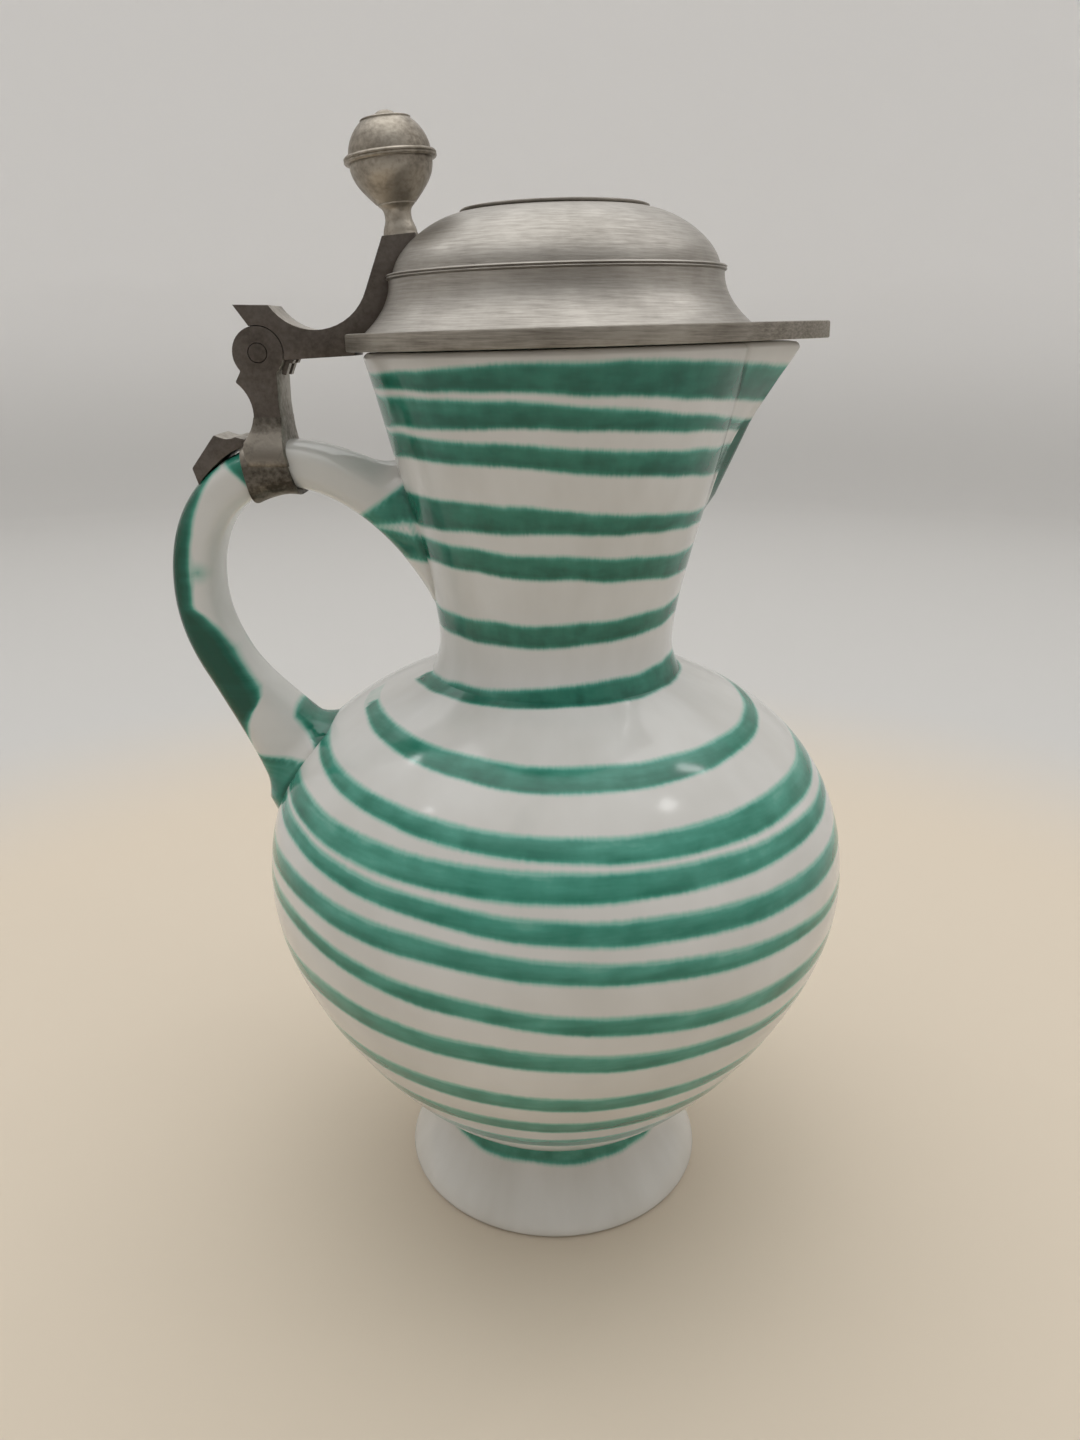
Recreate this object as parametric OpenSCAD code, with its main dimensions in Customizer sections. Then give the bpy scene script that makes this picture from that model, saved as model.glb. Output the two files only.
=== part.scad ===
// Lidded ceramic jug: a thrown pot with a pouring lip and a strap handle, and a pewter lid that
// turns on a five-leaf hinge above the handle. Millimetres. +Z is up, +X points to the spout and
// -X to the handle. The origin is the middle of the foot, on the table.

/* [Foot] */
// Diameter of the foot where it stands
foot_d = 88; // [80:1:100]
// Diameter of the foot's top, under the belly
foot_top_d = 66; // [60:1:72]
// Height of the foot
foot_h = 23; // [18:1:28]
// Width of the ring that the foot stands on
foot_ring_w = 8; // [6:0.5:10]
// Rounding of the foot's lower outer edge
foot_edge_r = 1.6; // [0.8:0.1:2.4]

/* [Pot] */
// Diameter of the belly at its fullest
belly_d = 159; // [145:1:175]
// Height of the fullest part of the belly
belly_z = 99; // [90:1:108]
// Height of the crease between shoulder and neck
shoulder_z = 155.6; // [148:0.2:162]
// Diameter of the pot at that crease
crease_d = 66.4; // [63:0.2:72]
// Slope of the shoulder where it meets the neck, degrees from level
shoulder_slope = 21.5; // [12:0.5:30]
// Diameter of the neck's waist
waist_d = 62; // [56:0.5:63]
// Height of the waist above the crease
waist_rise = 9; // [6:0.5:14]
// Outside diameter of the rim
rim_d = 95.6; // [86:0.2:104]
// Height of the rim on the pot's axis
rim_z = 237.2; // [225:0.2:250]
// Slope of the rim, rising towards the spout, degrees
rim_tilt = 1.6; // [0:0.1:3]
// Slope of the neck's wall at the rim, degrees from upright
rim_flare = 14.5; // [8:0.5:20]
// Wall of the pot
wall = 5; // [4:0.2:6]
// Floor of the pot
floor_t = 6; // [5:0.5:9]

/* [Pouring lip] */
// Reach of the lip from the pot's axis, at the rim
lip_reach = 57.8; // [55:0.2:63]
// Rounding of the lip's tip
lip_tip_r = 4.6; // [4:0.1:6]
// Half the angle that the lip takes from the rim, degrees
lip_half_angle = 24; // [18:1:30]
// Height of the keel's lower end below the rim
keel_drop = 37; // [30:1:44]
// How far the keel's lower end stands proud of the neck
keel_proud = 2; // [1:0.1:3.6]
// Half the width of the keel's lower end
keel_r = 3; // [2.4:0.1:4]
// Wall of the lip
lip_wall = 3.4; // [2.6:0.1:3.8]

/* [Handle] */
// Width of the handle, along Y
handle_w = 18; // [15:0.5:22]
// Thickness of the handle
handle_t = 11.8; // [10:0.1:14]
// Height of the handle's middle under the hinge
handle_top_z = 208.8; // [200:0.2:214]
// Reach of the handle's middle from the pot's axis
handle_reach = 93.9; // [90:0.2:100]
// Height where the handle reaches furthest
handle_out_z = 178; // [170:1:186]
// Height where the handle's middle enters the neck
root_top_z = 197.5; // [192:0.5:201]
// Height where the handle's middle enters the belly
root_low_z = 132; // [127:1:136]
// Extra thickness of the handle at its upper root
root_top_flare = 20; // [12:0.5:24]
// Extra thickness of the handle at its lower root
root_low_flare = 13; // [8:0.5:18]
// Extra width of the handle at both roots
root_side_flare = 5; // [2:0.5:8]

/* [Handle mount] */
// Length of the band along the handle
band_w = 11.6; // [9:0.2:14]
// Thickness of the band's metal
band_t = 1.3; // [1:0.1:2]
// Bedding gap between the handle and its metal mount
band_gap = 0.2; // [0.1:0.05:0.4]
// Height of the pad above the band, under the hinge post
pad_rise = 1; // [0.6:0.1:2]
// Length of the tongue on the handle's back
tongue_l = 20; // [16:0.5:22]
// Thickness of the tongue beside the band
tongue_root_t = 1.8; // [1.2:0.2:3]
// Thickness of the tongue at its crown
tongue_t = 5; // [4.2:0.2:7]
// Thickness of the tongue's cut tip
tongue_tip_t = 4; // [2:0.2:5]
// Width of the tongue, along Y
tongue_w = 13; // [9:0.5:15]

/* [Hinge] */
// Width of the hinge, along Y
hinge_w = 14.4; // [12:0.2:16]
// Running gap between two leaves
leaf_gap = 0.3; // [0.25:0.05:0.4]
// Diameter of the hinge knuckles
knuckle_d = 12.4; // [11:0.2:13]
// Gap between a knuckle and the metal round it
knuckle_gap = 0.4; // [0.3:0.05:0.6]
// Diameter of the pin
pin_d = 4.6; // [3.6:0.1:5]
// How far the pin's riveted ends stand proud
pin_proud = 0.2; // [0.1:0.05:0.4]
// Running clearance round the pin in the arm's leaves
pin_clearance = 0.05; // [0.02:0.01:0.1]
// Distance from the pin to the lid's flange
arm_reach = 20.8; // [18:0.2:24]
// Height of the pin above the underside of the flange
pin_rise = 0.4; // [0:0.1:1]
// Depth of the scoop in the top of the arm
scoop_depth = 7.2; // [6:0.1:7.4]
// Width of the arm at the thumbpiece, along Y
arm_top_w = 9; // [8:0.2:11]
// How far the lid opens before its stop, degrees
open_angle = 115; // [95:1:118]
// Angle left between the arm's heel and the stop when open, degrees
stop_slack = 2; // [1.5:0.1:4]
// Reach of the stop from the pin's centre
stop_reach = 9.1; // [8:0.1:10]

/* [Lid] */
// Gap between the rim and the lid
lid_gap = 0.3; // [0.2:0.05:0.6]
// Overhang of the flange past the rim
flange_over = 3.7; // [2.5:0.1:5]
// Thickness of the flange
flange_t = 4; // [3:0.1:5]
// Width of the flange that reaches in under the lid's shell
seat_w = 4.9; // [3.2:0.1:7]
// Reach of the flange past the tip of the lip
beak_over = 6.7; // [5:0.1:9]
// Width of the beak's blunt end
beak_w = 8; // [5:0.5:10]
// Distance of the cove's foot inside the flange's edge
cove_inset = 4.6; // [3.6:0.1:6]
// How far the cove draws in from its foot to the bead
cove_run = 6.7; // [5:0.1:8]
// Height of the bead's underside above the flange's underside
bead_h = 15.6; // [14:0.2:18]
// Thickness of the bead
bead_t = 1.4; // [1:0.1:2]
// Step from the bead in to the foot of the dome
dome_step = 1; // [0.6:0.1:1.6]
// Height of the dome's flat top above the flange's underside
dome_h = 29.8; // [27:0.2:33]
// How far the dome draws in from its foot to its flat top
dome_run = 16.4; // [14:0.2:19]
// Wall of the lid
lid_wall = 2; // [1.5:0.1:2.6]
// Margin of the dome's flat top round the disc
disc_margin = 0.3; // [0.2:0.1:3]
// Thickness of the disc
disc_t = 0.9; // [0.7:0.1:2]
// Undercut of the disc's edge
disc_undercut = 0.7; // [0.3:0.1:1]

/* [Thumbpiece] */
// Depth of the stem's foot below the dome's top
thumb_drop = 4; // [3.4:0.1:5]
// Distance of the stem's axis inside the dome's lower edge
thumb_inset = 2.4; // [1:0.1:2.6]
// Backward lean of the thumbpiece, degrees from the lid's upright
thumb_lean = 4.4; // [0:0.2:9]
// Diameter of the stem's foot
stem_foot_d = 7.4; // [6.6:0.1:8]
// Diameter of the stem's waist
stem_waist_d = 5.9; // [5:0.1:6.6]
// Height of the stem
stem_h = 8.6; // [7:0.1:11]
// Diameter of the ball
ball_d = 19.5; // [17:0.1:22]
// Diameter of the rib round the ball
rib_d = 21.7; // [20:0.1:24]
// Thickness of the rib on each half of the ball
rib_t = 0.8; // [0.6:0.1:1.2]
// Wall of the ball's two halves
ball_wall = 2; // [1.5:0.1:2.5]
// Diameter of the flat under the ball
ball_seat_d = 10.8; // [9:0.1:12]
// Diameter of the flat on top of the ball
ball_cap_d = 11.4; // [9:0.1:13]
// Diameter of the button on the ball
button_d = 5.4; // [4.5:0.1:7]
// Height of the button
button_h = 2.2; // [1.4:0.1:3]

/* [Hidden] */
$fn = 96;
glaze = "#eceeee";
pewter = "#a9a9a6";
dark_pewter = "#6f6b66";

// Steps along each curve, and sides of the handle's section
pot_steps = 14;
small_steps = 8;
path_steps = 12;
section_sides = 20;
section_power = 2.6;
// Spare length of a cutting shape past the solid it cuts
spare = 3;
span = 400;
thin = 0.1;

// A point on the cubic curve with end points p[0] and p[3], its slope there, and a row of its points
function curve(p, t) = pow(1 - t, 3) * p[0] + 3 * pow(1 - t, 2) * t * p[1]
    + 3 * (1 - t) * t * t * p[2] + pow(t, 3) * p[3];
function curve_slope(p, t) = 3 * pow(1 - t, 2) * (p[1] - p[0]) + 6 * (1 - t) * t * (p[2] - p[1])
    + 3 * t * t * (p[3] - p[2]);
function along(p, steps) = [for (i = [0 : steps]) curve(p, i / steps)];
function backwards(list) = [for (i = [len(list) - 1 : -1 : 0]) list[i]];
function turned(p, a) = [p[0] * cos(a) - p[1] * sin(a), p[0] * sin(a) + p[1] * cos(a)];
function unit(v) = v / norm(v);

// Outline of the pot in [radius, height]; inset 0 is the outside and inset = wall the inside
belly_r = belly_d / 2;
crease_r = crease_d / 2;
waist_r = waist_d / 2;
rim_r = rim_d / 2;
belly_under_pull = 8;
belly_low_pull = 31;
belly_high_pull = 37;
shoulder_pull = 20;
waist_pull = 10;
rim_pull = 45;
rim_slope = tan(rim_flare);
shoulder_dir = [cos(shoulder_slope), -sin(shoulder_slope)];
function pot_outline(inset) = let (
    floor_pt = [foot_top_d / 2, foot_h + (inset > 0 ? floor_t : 0)],
    full = [belly_r - inset, belly_z],
    crease = [crease_r - inset, shoulder_z - inset],
    waist = [waist_r - inset, shoulder_z + waist_rise],
    rim = [rim_r - inset, rim_z]
) concat(
    along([floor_pt, floor_pt + [belly_under_pull, 0], full - [0, belly_low_pull], full], pot_steps),
    along([full, full + [0, belly_high_pull], crease + shoulder_pull * shoulder_dir, crease], pot_steps),
    along([crease, (crease + waist) / 2 - [inset > 0 ? 0 : (crease_r - waist_r) / 3, 0],
        waist - [0, waist_rise / 3], waist], small_steps),
    along([waist, waist + [0, waist_pull], rim - rim_pull * [rim_slope, 1], rim], pot_steps),
    [rim + 2 * spare * [rim_slope, 1]]
);
pot_out = pot_outline(0);
pot_in = pot_outline(wall);
// Outside radius of the pot at a height
function pot_r(z) = lookup(z, [for (p = pot_out) [p[1], p[0]]]);

// The rim's plane is tilted, and the lid lies a gap above it
module on_rim() {
    translate([0, 0, rim_z]) rotate([0, -rim_tilt, 0]) children();
}
module on_lid() {
    on_rim() translate([0, 0, lid_gap]) children();
}
module above_rim() {
    on_rim() translate([0, 0, span / 2]) cube(span, center = true);
}
// Draws a shape given in [x, height] as a plate of width w about the middle plane
module plate(w) {
    rotate([90, 0, 0]) linear_extrude(w, center = true) children();
}

// The pot's outside as one full solid, which trims what is joined to it
module pot_form() {
    rotate_extrude() polygon(concat([[0, foot_h]], pot_out, [[0, rim_z + 2 * spare]]));
}

module jug_body() {
    color(glaze) difference() {
        rotate_extrude() polygon(concat(
            [[0, foot_h]], pot_out, backwards(pot_in), [[0, foot_h + floor_t]]));
        above_rim();
        lip_form(lip_wall);
    }
}

// The foot's flared ring, open underneath
foot_pull = 9;
module foot_ring() {
    foot_r = foot_d / 2;
    top_r = foot_top_d / 2;
    in_low = foot_r - foot_ring_w;
    in_top = top_r - foot_ring_w;
    edge = [foot_r - foot_edge_r, foot_edge_r];
    color(glaze) rotate_extrude() polygon(concat(
        [[in_low, 0]],
        [for (i = [0 : small_steps]) edge + foot_edge_r * [sin(90 * i / small_steps),
            -cos(90 * i / small_steps)]],
        along([[foot_r, foot_edge_r], [foot_r - foot_edge_r, foot_pull], [top_r, foot_h - foot_pull],
            [top_r, foot_h]], small_steps),
        [[in_top, foot_h]]
    ));
}

// The lip's outer form, or with an inset its channel, from the keel's foot up past the rim
keel_z = rim_z - keel_drop;
keel_x = pot_r(keel_z) + keel_proud;
lip_top_k = (keel_drop + 2 * spare) / keel_drop;
lip_root = rim_r * [cos(lip_half_angle), sin(lip_half_angle)];
// A channel ends further in and higher than the keel, inside the neck, and is slimmer there
channel_back = 1.3;
channel_rise = 2;
channel_slim = 0.6;
module lip_form(inset) {
    low = [keel_x - keel_r - channel_back * inset, keel_z + channel_rise * inset];
    top_z = rim_z + 2 * spare;
    tip_x = keel_x + lip_top_k * (lip_reach - keel_x) - lip_tip_r;
    root_y = keel_r + lip_top_k * (lip_root[1] - keel_r) - inset;
    hull() {
        translate([low[0], 0, low[1]])
            cylinder(r = keel_r - channel_slim * inset, h = thin, $fn = 32);
        translate([tip_x, 0, top_z]) cylinder(r = lip_tip_r - inset, h = thin, $fn = 32);
        for (side = [-1, 1])
            translate([lip_root[0] - inset, side * root_y, top_z])
                cylinder(r = thin, h = thin, $fn = 16);
    }
}

module pouring_lip() {
    color(glaze) difference() {
        lip_form(0);
        pot_form();
        lip_form(lip_wall);
        above_rim();
    }
}

// The hinge pin in the lid's frame, as [x, height], and in the jug's own frame
pin_at = [-(rim_r + flange_over + arm_reach), pin_rise];
pin_r = pin_d / 2;
knuckle_r = knuckle_d / 2;
pin_jug = turned(pin_at + [0, lid_gap], rim_tilt) + [0, rim_z];

// Path of the handle's middle: three curves joined at the band and at the furthest reach
band_lean = 13;
band_back = 0.9;
band_at = [pin_jug[0] + band_back, handle_top_z];
out_at = [-handle_reach, handle_out_z];
band_dir = [-cos(band_lean), -sin(band_lean)];
root_top_dir = unit([-4, 3]);
root_low_dir = unit([3, -5]);
// Each root starts this far inside the pot, where the pot's form trims it
bury_top = 20;
bury_low = 6;
root_top = [-pot_r(root_top_z), root_top_z] - bury_top * root_top_dir;
root_low = [-pot_r(root_low_z), root_low_z] + bury_low * root_low_dir;
root_pull = 22;
band_pull = 14;
out_pull = 16;
lower_pull = 20;
handle_path = [
    [root_top, root_top + root_pull * root_top_dir, band_at - band_pull * band_dir, band_at],
    [band_at, band_at + out_pull * band_dir, out_at + [0, out_pull], out_at],
    [out_at, out_at - [0, lower_pull], root_low - lower_pull * root_low_dir, root_low]
];
path_end = len(handle_path);
// A place on the path is the curve's number plus how far along it lies, from 0 to path_end
function path_piece(s) = min(floor(s), path_end - 1);
function path_at(s) = curve(handle_path[path_piece(s)], s - path_piece(s));
function path_dir(s) = unit(curve_slope(handle_path[path_piece(s)], s - path_piece(s)));
function outward(s) = let (d = path_dir(s)) [d[1], -d[0]];
// How strongly a root's flare acts at a place on the path: 1 at the root, fading to 0
flare_top_span = 0.95;
flare_low_span = 0.6;
function flare_top(s) = pow(max(0, 1 - s / flare_top_span), 3);
function flare_low(s) = pow(max(0, 1 - (path_end - s) / flare_low_span), 2);
function handle_thick(s) = handle_t + root_top_flare * flare_top(s) + root_low_flare * flare_low(s);
function handle_wide(s) = handle_w + root_side_flare * (flare_top(s) + flare_low(s));
// One point of a rounded-square section with half sizes a and b
function rounded(c) = sign(c) * pow(abs(c), 2 / section_power);
function section_point(s, angle, grow) = let (
    p = path_at(s) + outward(s) * (handle_thick(s) / 2 + grow) * rounded(cos(angle)),
    y = (handle_wide(s) / 2 + grow) * rounded(sin(angle))
) [p[0], y, p[1]];

// The handle's form between two places on its path, grown all round
module handle_form(from, to, grow) {
    steps = ceil((to - from) * path_steps);
    n = section_sides;
    points = [for (j = [0 : steps]) for (i = [0 : n - 1])
        section_point(from + (to - from) * j / steps, 360 * i / n, grow)];
    sides = [for (j = [0 : steps - 1]) for (i = [0 : n - 1]) let (
        a = j * n + i, b = j * n + (i + 1) % n, c = b + n, d = a + n) each [[a, d, c], [a, c, b]]];
    start_cap = [for (i = [0 : n - 1]) i];
    end_cap = [for (i = [n - 1 : -1 : 0]) steps * n + i];
    polyhedron(points, concat(sides, [start_cap, end_cap]), convexity = 6);
}

module jug_handle() {
    color(glaze) difference() {
        handle_form(0, path_end, 0);
        pot_form();
    }
}

// The band wraps the handle between two slanting cuts, and carries a flat pad for the hinge post
pad_z = handle_top_z + handle_t / 2 + band_gap + band_t + pad_rise;
post_left = 5.3;
post_right = 5.6;
// The band's form and the cut inside it run this far along the path on each side of the band
band_span = 0.5;
cut_span = 0.75;
module band_slab() {
    translate([band_at[0], 0, band_at[1]]) rotate([0, -band_lean, 0])
        cube([band_w, span, span], center = true);
}
module band_pad() {
    hull() {
        translate([pin_jug[0] - post_left, -hinge_w / 2, pad_z - thin])
            cube([post_left + post_right, hinge_w, thin]);
        translate([pin_jug[0] - post_left, -handle_w / 2, handle_top_z + handle_t / 4])
            cube([post_left + post_right, handle_w, thin]);
    }
}
module handle_band() {
    color(dark_pewter) difference() {
        union() {
            intersection() {
                handle_form(1 - band_span, 1 + band_span, band_gap + band_t);
                band_slab();
            }
            band_pad();
        }
        handle_form(1 - cut_span, 1 + cut_span, band_gap);
    }
}

// The tongue is a saddle plate on the handle's back, from the band to its cut tip
tongue_crown = 0.3;
tongue_shoulder = 0.86;
module tongue_outline() {
    function place(k) = 1 + k * tongue_l / (3 * out_pull);
    function over(k, t) = path_at(place(k)) + outward(place(k)) * (handle_t / 2 + band_gap + t);
    polygon([
        over(0, tongue_root_t), over(tongue_crown, tongue_t),
        over(tongue_shoulder, tongue_tip_t), over(1, 0),
        path_at(place(1)), path_at(place(0))
    ]);
}
module handle_tongue() {
    color(dark_pewter) difference() {
        plate(tongue_w) tongue_outline();
        handle_form(1 - band_span, 1 + cut_span, band_gap);
        band_slab();
    }
}

// The heel behind the knuckle, and the stop that it lands on, from the pin's centre
relief_r = knuckle_r + knuckle_gap;
heel_angle = 104;
heel_foot = relief_r * [cos(heel_angle), sin(heel_angle)];
heel_tip = [-4.8, 11];
heel_front = [3.7, 10.7];
// Where the heel's back face lies when the lid is open, in the jug's frame
stop_turn = open_angle + stop_slack + rim_tilt;
stop_share = (stop_reach - relief_r) / (norm(heel_tip) - relief_r);
stop_foot = turned(heel_foot, stop_turn);
stop_tip = turned(heel_foot + (heel_tip - heel_foot) * stop_share, stop_turn);

// Five leaves share the hinge's width; even ones are the post's and odd ones the arm's
leaf_count = 5;
leaf_pitch = (hinge_w + leaf_gap) / leaf_count;
leaf_t = leaf_pitch - leaf_gap;
function leaf_y(i) = -hinge_w / 2 + i * leaf_pitch + leaf_t / 2;
// Drums about the pin at the post's leaves or the arm's, each wider than its leaf by spread
module drums(first, r, spread) {
    for (i = [first : 2 : leaf_count - 1])
        translate([0, leaf_y(i), 0]) rotate([90, 0, 0])
            cylinder(r = r, h = leaf_t + 2 * spread, center = true);
}
module pin_bore(clearance) {
    rotate([90, 0, 0]) cylinder(r = pin_r + clearance, h = hinge_w + 2 * spare, center = true);
}

post_waist = 4.3;
post_scoop = 3.4;
post_foot_h = 7;
module hinge_post() {
    base = pad_z - pin_jug[1];
    foot_left = [-post_left, base];
    chord = norm(stop_tip - foot_left);
    scoop_r = (chord * chord / 4 + post_scoop * post_scoop) / (2 * post_scoop);
    scoop_at = (stop_tip + foot_left) / 2 - [scoop_r - post_scoop, 0];
    color(dark_pewter) translate([pin_jug[0], 0, pin_jug[1]]) difference() {
        plate(hinge_w) difference() {
            union() {
                circle(r = knuckle_r);
                polygon([stop_foot, stop_tip, foot_left, [post_right, base],
                    [post_waist, base + post_foot_h], [post_waist, 0]]);
            }
            translate(scoop_at) circle(r = scoop_r);
        }
        drums(1, relief_r, leaf_gap);
        pin_bore(0);
    }
}

module hinge_pin() {
    color(dark_pewter) translate([pin_jug[0], 0, pin_jug[1]]) rotate([90, 0, 0])
        cylinder(r = pin_r, h = hinge_w + 2 * pin_proud, center = true);
}

// Outline of the lid's shell in [radius, height]; inset 0 is the outside
flange_r = rim_r + flange_over;
cove_r = flange_r - cove_inset;
bead_r = cove_r - cove_run;
dome_r = bead_r - dome_step;
dome_top_r = dome_r - dome_run;
cove_low_pull = [-4, 3.4];
cove_top_pull = [0, -4.4];
dome_low_pull = [-1.2, 6];
dome_top_pull = [6.5, -1];
bead_round = 0.35;
function lid_outline(inset) = let (
    low = [cove_r - inset, flange_t],
    under = [bead_r - inset, bead_h - inset],
    spring = [dome_r - inset, bead_h + bead_t - inset],
    top = [dome_top_r, dome_h - inset]
) concat(
    along([low, low + cove_low_pull, under + cove_top_pull, under], small_steps),
    inset > 0 ? [] : [under + bead_round * [1, 1], under + [bead_round, bead_t - bead_round],
        under + [0, bead_t]],
    along([spring, spring + dome_low_pull, top + dome_top_pull, top], small_steps)
);
// The flange's full plate: a round, and a beak whose sides leave it almost as tangents
module flange_plate() {
    tip = [lip_reach + beak_over, beak_w / 2];
    touch_r = flange_r - thin;
    angle = atan2(tip[1], tip[0]) + acos(touch_r / norm(tip));
    touch = touch_r * [cos(angle), sin(angle)];
    cylinder(r = flange_r, h = flange_t);
    linear_extrude(flange_t) polygon([touch, tip, [tip[0], -tip[1]], [touch[0], -touch[1]]]);
}
// The lid's outside as one full solid, which trims the arm
module lid_form() {
    flange_plate();
    rotate_extrude() polygon(concat([[0, flange_t]], lid_outline(0), [[0, dome_h]]));
}

module lid_flange() {
    color(pewter) on_lid() difference() {
        flange_plate();
        translate([0, 0, -spare]) cylinder(r = cove_r - seat_w, h = flange_t + 2 * spare);
    }
}

module lid_dome() {
    color(pewter) on_lid() rotate_extrude() polygon(concat(
        lid_outline(0), [[0, dome_h], [0, dome_h - lid_wall]], backwards(lid_outline(lid_wall))));
}

disc_land = 0.3;
module lid_disc() {
    r = dome_top_r - disc_margin;
    color(pewter) on_lid() translate([0, 0, dome_h]) rotate_extrude()
        polygon([[0, 0], [r - disc_undercut, 0], [r, disc_t - disc_land], [r, disc_t], [0, disc_t]]);
}

// Foot of the thumbpiece, in the lid's frame
thumb_at = [-(dome_r - thumb_inset), dome_h - thumb_drop];
tab_l = 2.5;
tab_t = 0.9;
arm_low = -1.8;
arm_head = 7.8;
arm_back = [-8.6, -12];
arm_full_l = 16.6;
module arm_outline() {
    seat = thumb_at - pin_at;
    across = turned([arm_head / 2, 0], thumb_lean);
    back_top = seat - across;
    back_low = seat + arm_back;
    chord = back_low - heel_front;
    scoop_r = (chord * chord / 4 + scoop_depth * scoop_depth) / (2 * scoop_depth);
    scoop_at = (heel_front + back_low) / 2 + (scoop_r - scoop_depth) * turned(unit(chord), 90);
    difference() {
        polygon([
            [0, 0], heel_foot, heel_tip, heel_front, back_low, back_top, seat + across,
            [seat[0] + across[0], flange_t / 2 - pin_rise],
            [arm_reach + tab_l, flange_t / 2 - pin_rise], [arm_reach + tab_l, -tab_t - pin_rise],
            [relief_r, arm_low]
        ]);
        translate(scoop_at) circle(r = scoop_r);
    }
}
module arm_plan() {
    wide = hinge_w / 2;
    slim = arm_top_w / 2;
    far = (thumb_at - pin_at)[0];
    polygon([[-span, -wide], [arm_full_l, -wide], [far, -slim], [span, -slim],
        [span, slim], [far, slim], [arm_full_l, wide], [-span, wide]]);
}
module lid_arm() {
    color(dark_pewter) on_lid() difference() {
        translate([pin_at[0], 0, pin_at[1]]) difference() {
            union() {
                difference() {
                    intersection() {
                        plate(hinge_w) arm_outline();
                        linear_extrude(span, center = true) arm_plan();
                    }
                    drums(0, relief_r, leaf_gap);
                }
                drums(1, knuckle_r, 0);
            }
            pin_bore(pin_clearance);
        }
        lid_form();
    }
}

module on_thumb() {
    on_lid() translate([thumb_at[0], 0, thumb_at[1]]) rotate([0, -thumb_lean, 0]) children();
}
ball_r = ball_d / 2;
ball_seat = sqrt(ball_r * ball_r - ball_seat_d * ball_seat_d / 4);
ball_cap = sqrt(ball_r * ball_r - ball_cap_d * ball_cap_d / 4);
ball_z = stem_h + ball_seat;
collar_t = 0.8;
rib_round = 0.3;
button_round = 1.1;
stem_middle = 4.3;
stem_pull = 1.8;
module thumb_stem() {
    foot_r = stem_foot_d / 2;
    waist = stem_waist_d / 2;
    top_r = ball_seat_d / 2;
    color(pewter) on_thumb() rotate_extrude() polygon(concat(
        [[0, 0]],
        along([[foot_r, 0], [foot_r, stem_pull], [waist, stem_middle - stem_pull], [waist, stem_middle]],
            small_steps),
        along([[waist, stem_middle], [waist, stem_middle + stem_pull], [top_r, stem_h - stem_pull],
            [top_r, stem_h - collar_t]], small_steps),
        [[top_r, stem_h], [0, stem_h]]
    ));
}
// One half of the ball as a cup with a flat end and half of the rib, opening at height 0
module ball_half(flat) {
    inner_r = ball_r - ball_wall;
    floor_h = flat - ball_wall;
    rib_a = asin(rib_t / ball_r);
    end_a = asin(flat / ball_r);
    in_a = asin(floor_h / inner_r);
    arc_steps = [for (i = [0 : small_steps]) i / small_steps];
    rotate_extrude() polygon(concat(
        [[inner_r, 0], [rib_d / 2, 0], [rib_d / 2, rib_t - rib_round], [rib_d / 2 - rib_round, rib_t]],
        [for (k = arc_steps) let (a = rib_a + (end_a - rib_a) * k) ball_r * [cos(a), sin(a)]],
        [[0, flat], [0, floor_h]],
        [for (k = backwards(arc_steps)) inner_r * [cos(in_a * k), sin(in_a * k)]]
    ));
}
module thumb_ball_lower() {
    color(pewter) on_thumb() translate([0, 0, ball_z]) mirror([0, 0, 1]) ball_half(ball_seat);
}
module thumb_ball_upper() {
    color(pewter) on_thumb() translate([0, 0, ball_z]) ball_half(ball_cap);
}
module thumb_button() {
    color(pewter) on_thumb() translate([0, 0, ball_z + ball_cap]) rotate_extrude() polygon(concat(
        [[0, 0], [button_d / 2, 0]],
        [for (i = [0 : small_steps]) let (a = 90 * i / small_steps)
            [button_d / 2, button_h] + button_round * [cos(a) - 1, sin(a) - 1]],
        [[0, button_h]]
    ));
}

jug_body();
foot_ring();
pouring_lip();
jug_handle();
handle_band();
handle_tongue();
hinge_post();
hinge_pin();
lid_arm();
lid_flange();
lid_dome();
lid_disc();
thumb_stem();
thumb_ball_lower();
thumb_ball_upper();
thumb_button();
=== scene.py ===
import math
import bpy
from mathutils import Matrix, Vector
from mathutils.geometry import interpolate_bezier


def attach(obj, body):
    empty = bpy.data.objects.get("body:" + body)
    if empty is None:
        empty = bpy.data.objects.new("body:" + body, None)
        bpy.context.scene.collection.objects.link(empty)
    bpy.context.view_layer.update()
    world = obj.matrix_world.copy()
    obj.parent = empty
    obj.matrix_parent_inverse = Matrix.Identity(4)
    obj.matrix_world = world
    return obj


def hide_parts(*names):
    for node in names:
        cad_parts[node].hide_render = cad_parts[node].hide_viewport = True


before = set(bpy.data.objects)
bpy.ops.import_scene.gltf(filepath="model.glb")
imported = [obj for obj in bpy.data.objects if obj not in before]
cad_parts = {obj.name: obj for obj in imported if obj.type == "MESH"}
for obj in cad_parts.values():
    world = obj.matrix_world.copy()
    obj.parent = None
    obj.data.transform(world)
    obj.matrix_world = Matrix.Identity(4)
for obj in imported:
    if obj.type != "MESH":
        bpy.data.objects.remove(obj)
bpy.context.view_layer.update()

# Lidded ceramic jug: a thrown white pot with brushed green stripes and a pewter lid on a leaf hinge.
# Sizes are in millimetres as on the part's drawing, and MM turns them to metres where a mesh is made.
# +X points to the spout, -X to the handle, -Y to the camera, and the foot stands at height 0.
MM = 0.001
TURN = 2 * math.pi
WELD = 0.000002

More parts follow.
